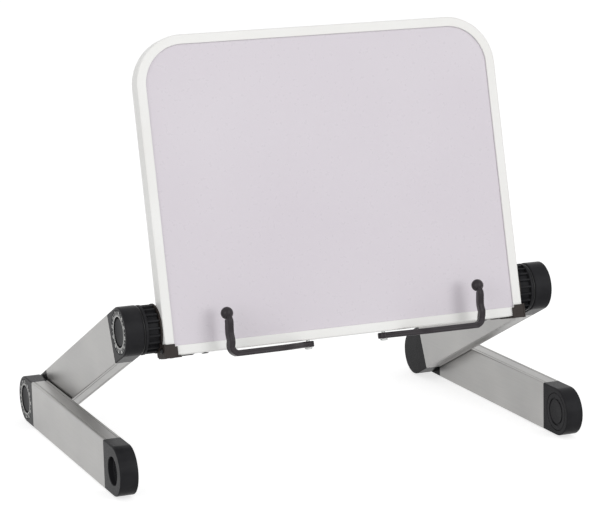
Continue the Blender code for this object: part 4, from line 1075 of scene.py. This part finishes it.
def smoothPath(points, rounds=3):
    # Catmull-Rom spans: each point is met, and the way through it runs parallel to its neighbours' chord
    for _ in range(rounds):
        before = np.concatenate([[2 * points[0] - points[1]], points[:-1]])
        after = np.concatenate([points[1:], [2 * points[-1] - points[-2]]])
        ends = np.concatenate([after[1:], [2 * after[-1] - points[-1]]])
        middle = (9 * (points + after) - before - ends)[:-1] / 16
        points = np.concatenate([np.stack([points[:-1], middle], 1).reshape(-1, 3), points[-1:]])
    return points


def strapLine():
    # Section as across + i up: a rounded rectangle with one fine groove along its front and its back
    depth, height, corner, groove, (high, low) = pick(clipLook, "depth height round groove grooveHeights")
    arc = corner * np.exp(1j * np.linspace(0, math.pi / 2, 7))
    arc = (depth / 2 - corner) + 1j * (height / 2 - corner) + arc
    side = depth / 2 - np.array([0, groove, groove, 0]) + 1j * np.array([-high, -low, low, high])
    upper = np.concatenate([side, arc, -arc.conj()[::-1]])
    return np.concatenate([upper, -upper])


def sweptStrap(path, shares):
    # Sections square to the path, each turned least from the last and scaled by its share
    line = strapLine()
    tangents = np.gradient(path, axis=0)
    tangents = tangents / np.linalg.norm(tangents, axis=1)[:, None]
    normals = [np.array([0, 0, 1.0])]
    for tangent in tangents:
        normal = normals[-1] - tangent * np.dot(normals[-1], tangent)
        normals.append(normal / np.linalg.norm(normal))
    normals = np.array(normals[1:])
    across = np.cross(tangents, normals)
    offset = across[:, None] * line.real[None, :, None] + normals[:, None] * line.imag[None, :, None]
    return path[:, None] + offset * shares[:, None, None]


def ballGrid():
    # Circles whose radius follows the cosine of the height angle
    reach, forward, back, rise, ball, end = pick(clipLook, "reach forward ballBack rise ball ballEnd")
    angles = np.linspace(-end, end, 31) * math.pi
    rings = circleRings([(ball * math.sin(angle), ball * math.cos(angle)) for angle in angles], 64)
    return ringStack(rings, alongZ) + (reach, back - forward, rise)


def clipShells():
    # Strap, ball and eye; the strap thins by a smooth step near the ball
    rise, height, (start, span, loss) = pick(clipLook, "rise height thin")
    path = smoothPath(clipPath())
    shares = 1 - loss * smoothStep((path[:, 2] / rise - start) / span)
    eye, hole, soft = pick(clipLook, "eye hole eyeSoft")
    half = height / 2
    rows = [(-half, hole), (-half, eye - soft), (-half + soft, eye)]
    rows += [(half - soft, eye), (half, eye - soft), (half, hole)]
    eyeGrid = ringStack(circleRings(rows, 64), alongZ)
    return [(sweptStrap(path, shares), False), (ballGrid(), False), (eyeGrid, True)]


for sideName, side in sides.items():
    shells = [(points + clipLook["pivot"], wrap) for points, wrap in clipShells()]
    node, body = f"{sideName}_page_clip", f"{sideName}_clip"
    shellPiece(node, "{}_strap", shells, "board", side, "greyNylonClip", body, 45)
print("stand: page clips made")


# Rubber pads under the lower arms

padLook = {
    "half": (5, 15),
    "corner": 1.6,
    "thick": 1.2,
    "edge": 0.3,
    "ease": 0.1,
}


def padGrid(centre):
    # Rounded rectangle stacked upwards, its rim eased below and above
    (halfX, halfY), edge, ease, thick, corner = pick(padLook, "half edge ease thick corner")
    spin = np.exp(1j * ((np.arange(72) + 0.5) / 72 * math.tau))
    steps = ((0.0, edge), (ease, ease), (edge, 0.0), (thick - ease, 0.0), (thick, ease))
    middle = centre[0] + 1j * centre[1]
    rings = [(z, softRectangle(halfX - corner, halfY - corner, corner - inset, spin)) for z, inset in steps]
    return ringStack([(z, middle + line) for z, line in rings], alongZ)


for sideName in sides:
    for label in ("front_foot", "rear_foot"):
        node, body = f"{sideName}_{label}", f"{sideName}_lower_arm"
        shells = [(padGrid(np.mean(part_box(node), 0) / mm), False)]
        shellPiece(node, "{}_pad", shells, "table", 1, "ribbedRubberPad", body)
print("stand: rubber pads made")


# Finishes on the frame's own nodes that stay

keptNodes = {"panel": "lilacPvcSheet"}
lockInside = {"gear": "naturalNylonGear", "spring": "brightZincSteel", "bolt": "brightZincSteel"}
for sideName in sides:
    for label in lockJoints:
        keptNodes.update({f"{sideName}_{label}_{part}": finish for part, finish in lockInside.items()})
for node, finish in keptNodes.items():
    for place in frame["nodes"][node].material_slots:
        place.material = finishes[finish]
print("stand: finishes set on", len(keptNodes), "kept nodes")


# Floor, light and camera

stageLook = {
    "floorHalf": 6.0,
    "floorDrop": 0.2 * mm,
    "floorTone": "#d9d9d9",
    "floorGlow": 0.72,
    "floorPale": 0.6,
    "skyLight": 0.54,
    "aim": (0, 0, 0.15),
    "key": {"power": 36.0, "size": (1.9, 3.0), "at": (1.28, -3.0, 1.75)},
    "fill": {"power": 15.5, "size": (1.8, 1.4), "at": (-2.2, -1.6, 0.9)},
}


def mixByRay(tree, hidden, seen, outputKind):
    # Camera, glossy and transmission rays get the seen shader, all other rays the hidden one
    ray = addNode(tree, "LightPath").node.outputs
    direct = ray["Is Camera Ray"]
    for label in ("Is Glossy Ray", "Is Transmission Ray"):
        direct = addNode(tree, "Math", 0, {"use_clamp": True}, {0: direct, 1: ray[label]})
    shown = addNode(tree, "MixShader", 0, {}, {0: direct, 1: hidden, 2: seen})
    tree.links.new(shown, tree.nodes.new(outputKind).inputs["Surface"])


def floorMaterial():
    # Matte painted sweep; where it is seen it is lifted towards white and keeps the object's shadow
    material = bpy.data.materials.new("matteStudioSweep")
    material.use_nodes = True
    tree = material.node_tree
    tree.nodes.clear()
    matte = addNode(tree, "BsdfDiffuse", 0, {"Color": linearColour(stageLook["floorTone"])})
    pale = addNode(tree, "BsdfDiffuse", 0, {"Color": (stageLook["floorPale"],) * 3 + (1,)})
    glow = addNode(tree, "Emission", 0, {"Strength": stageLook["floorGlow"]})
    lifted = addNode(tree, "AddShader", 0, {}, {0: pale, 1: glow})
    mixByRay(tree, matte, lifted, "ShaderNodeOutputMaterial")
    return material


def makeFloor():
    # One flat square, a hair below the pads
    half, drop = stageLook["floorHalf"], stageLook["floorDrop"]
    mesh = bpy.data.meshes.new("studioFloor")
    corners = [(x * half, y * half, -drop) for x, y in ((-1, -1), (1, -1), (1, 1), (-1, 1))]
    mesh.from_pydata(corners, [], [(0, 1, 2, 3)])
    mesh.materials.append(floorMaterial())
    floor = addObject("studioFloor", mesh)


def makeSky():
    # Even soft light; the camera, glossy and transmitted rays see plain white
    world = bpy.data.worlds.new("softStudio")
    world.use_nodes = True
    tree = world.node_tree
    tree.nodes.clear()
    plain = (1, 1, 1, 1)
    light = addNode(tree, "Background", 0, {"Color": plain, "Strength": stageLook["skyLight"]})
    white = addNode(tree, "Background", 0, {"Color": plain, "Strength": 1.0})
    mixByRay(tree, light, white, "ShaderNodeOutputWorld")
    bpy.context.scene.world = world


def makeLamp(name, look):
    # A soft rectangle of light that faces the stand
    lamp = bpy.data.lights.new(name, "AREA")
    lamp.energy = look["power"]
    lamp.shape = "RECTANGLE"
    lamp.size, lamp.size_y = look["size"]
    holder = addObject(name, lamp)
    holder.location = look["at"]
    aim = Vector(stageLook["aim"]) - Vector(look["at"])
    holder.rotation_euler = aim.to_track_quat("-Z", "Y").to_euler()


cameraLook = {
    "lens": 143.5626,
    "sensor": 36,
    "clipEnd": 50,
    "at": (-0.79956, -2.016625, 0.59596),
    "forward": (0.36511, 0.91029, -0.19509),
    "roll": math.radians(-1.42),
}


def makeCamera():
    # Looks along the viewing direction, with a small roll about it
    look = cameraLook
    data = bpy.data.cameras.new("photoCamera")
    data.lens = look["lens"]
    data.sensor_width = look["sensor"]
    data.clip_end = look["clipEnd"]
    camera = addObject("photoCamera", data)
    turn = Vector(look["forward"]).to_track_quat("-Z", "Y") @ Quaternion((0, 0, 1), look["roll"])
    camera.matrix_world = Matrix.LocRotScale(Vector(look["at"]), turn, None)
    bpy.context.scene.camera = camera


makeFloor()
makeSky()
makeLamp("keyLight", stageLook["key"])
makeLamp("fillLight", stageLook["fill"])
makeCamera()
bpy.context.scene.view_settings.view_transform = "Standard"
print("stand: floor, light and camera made")
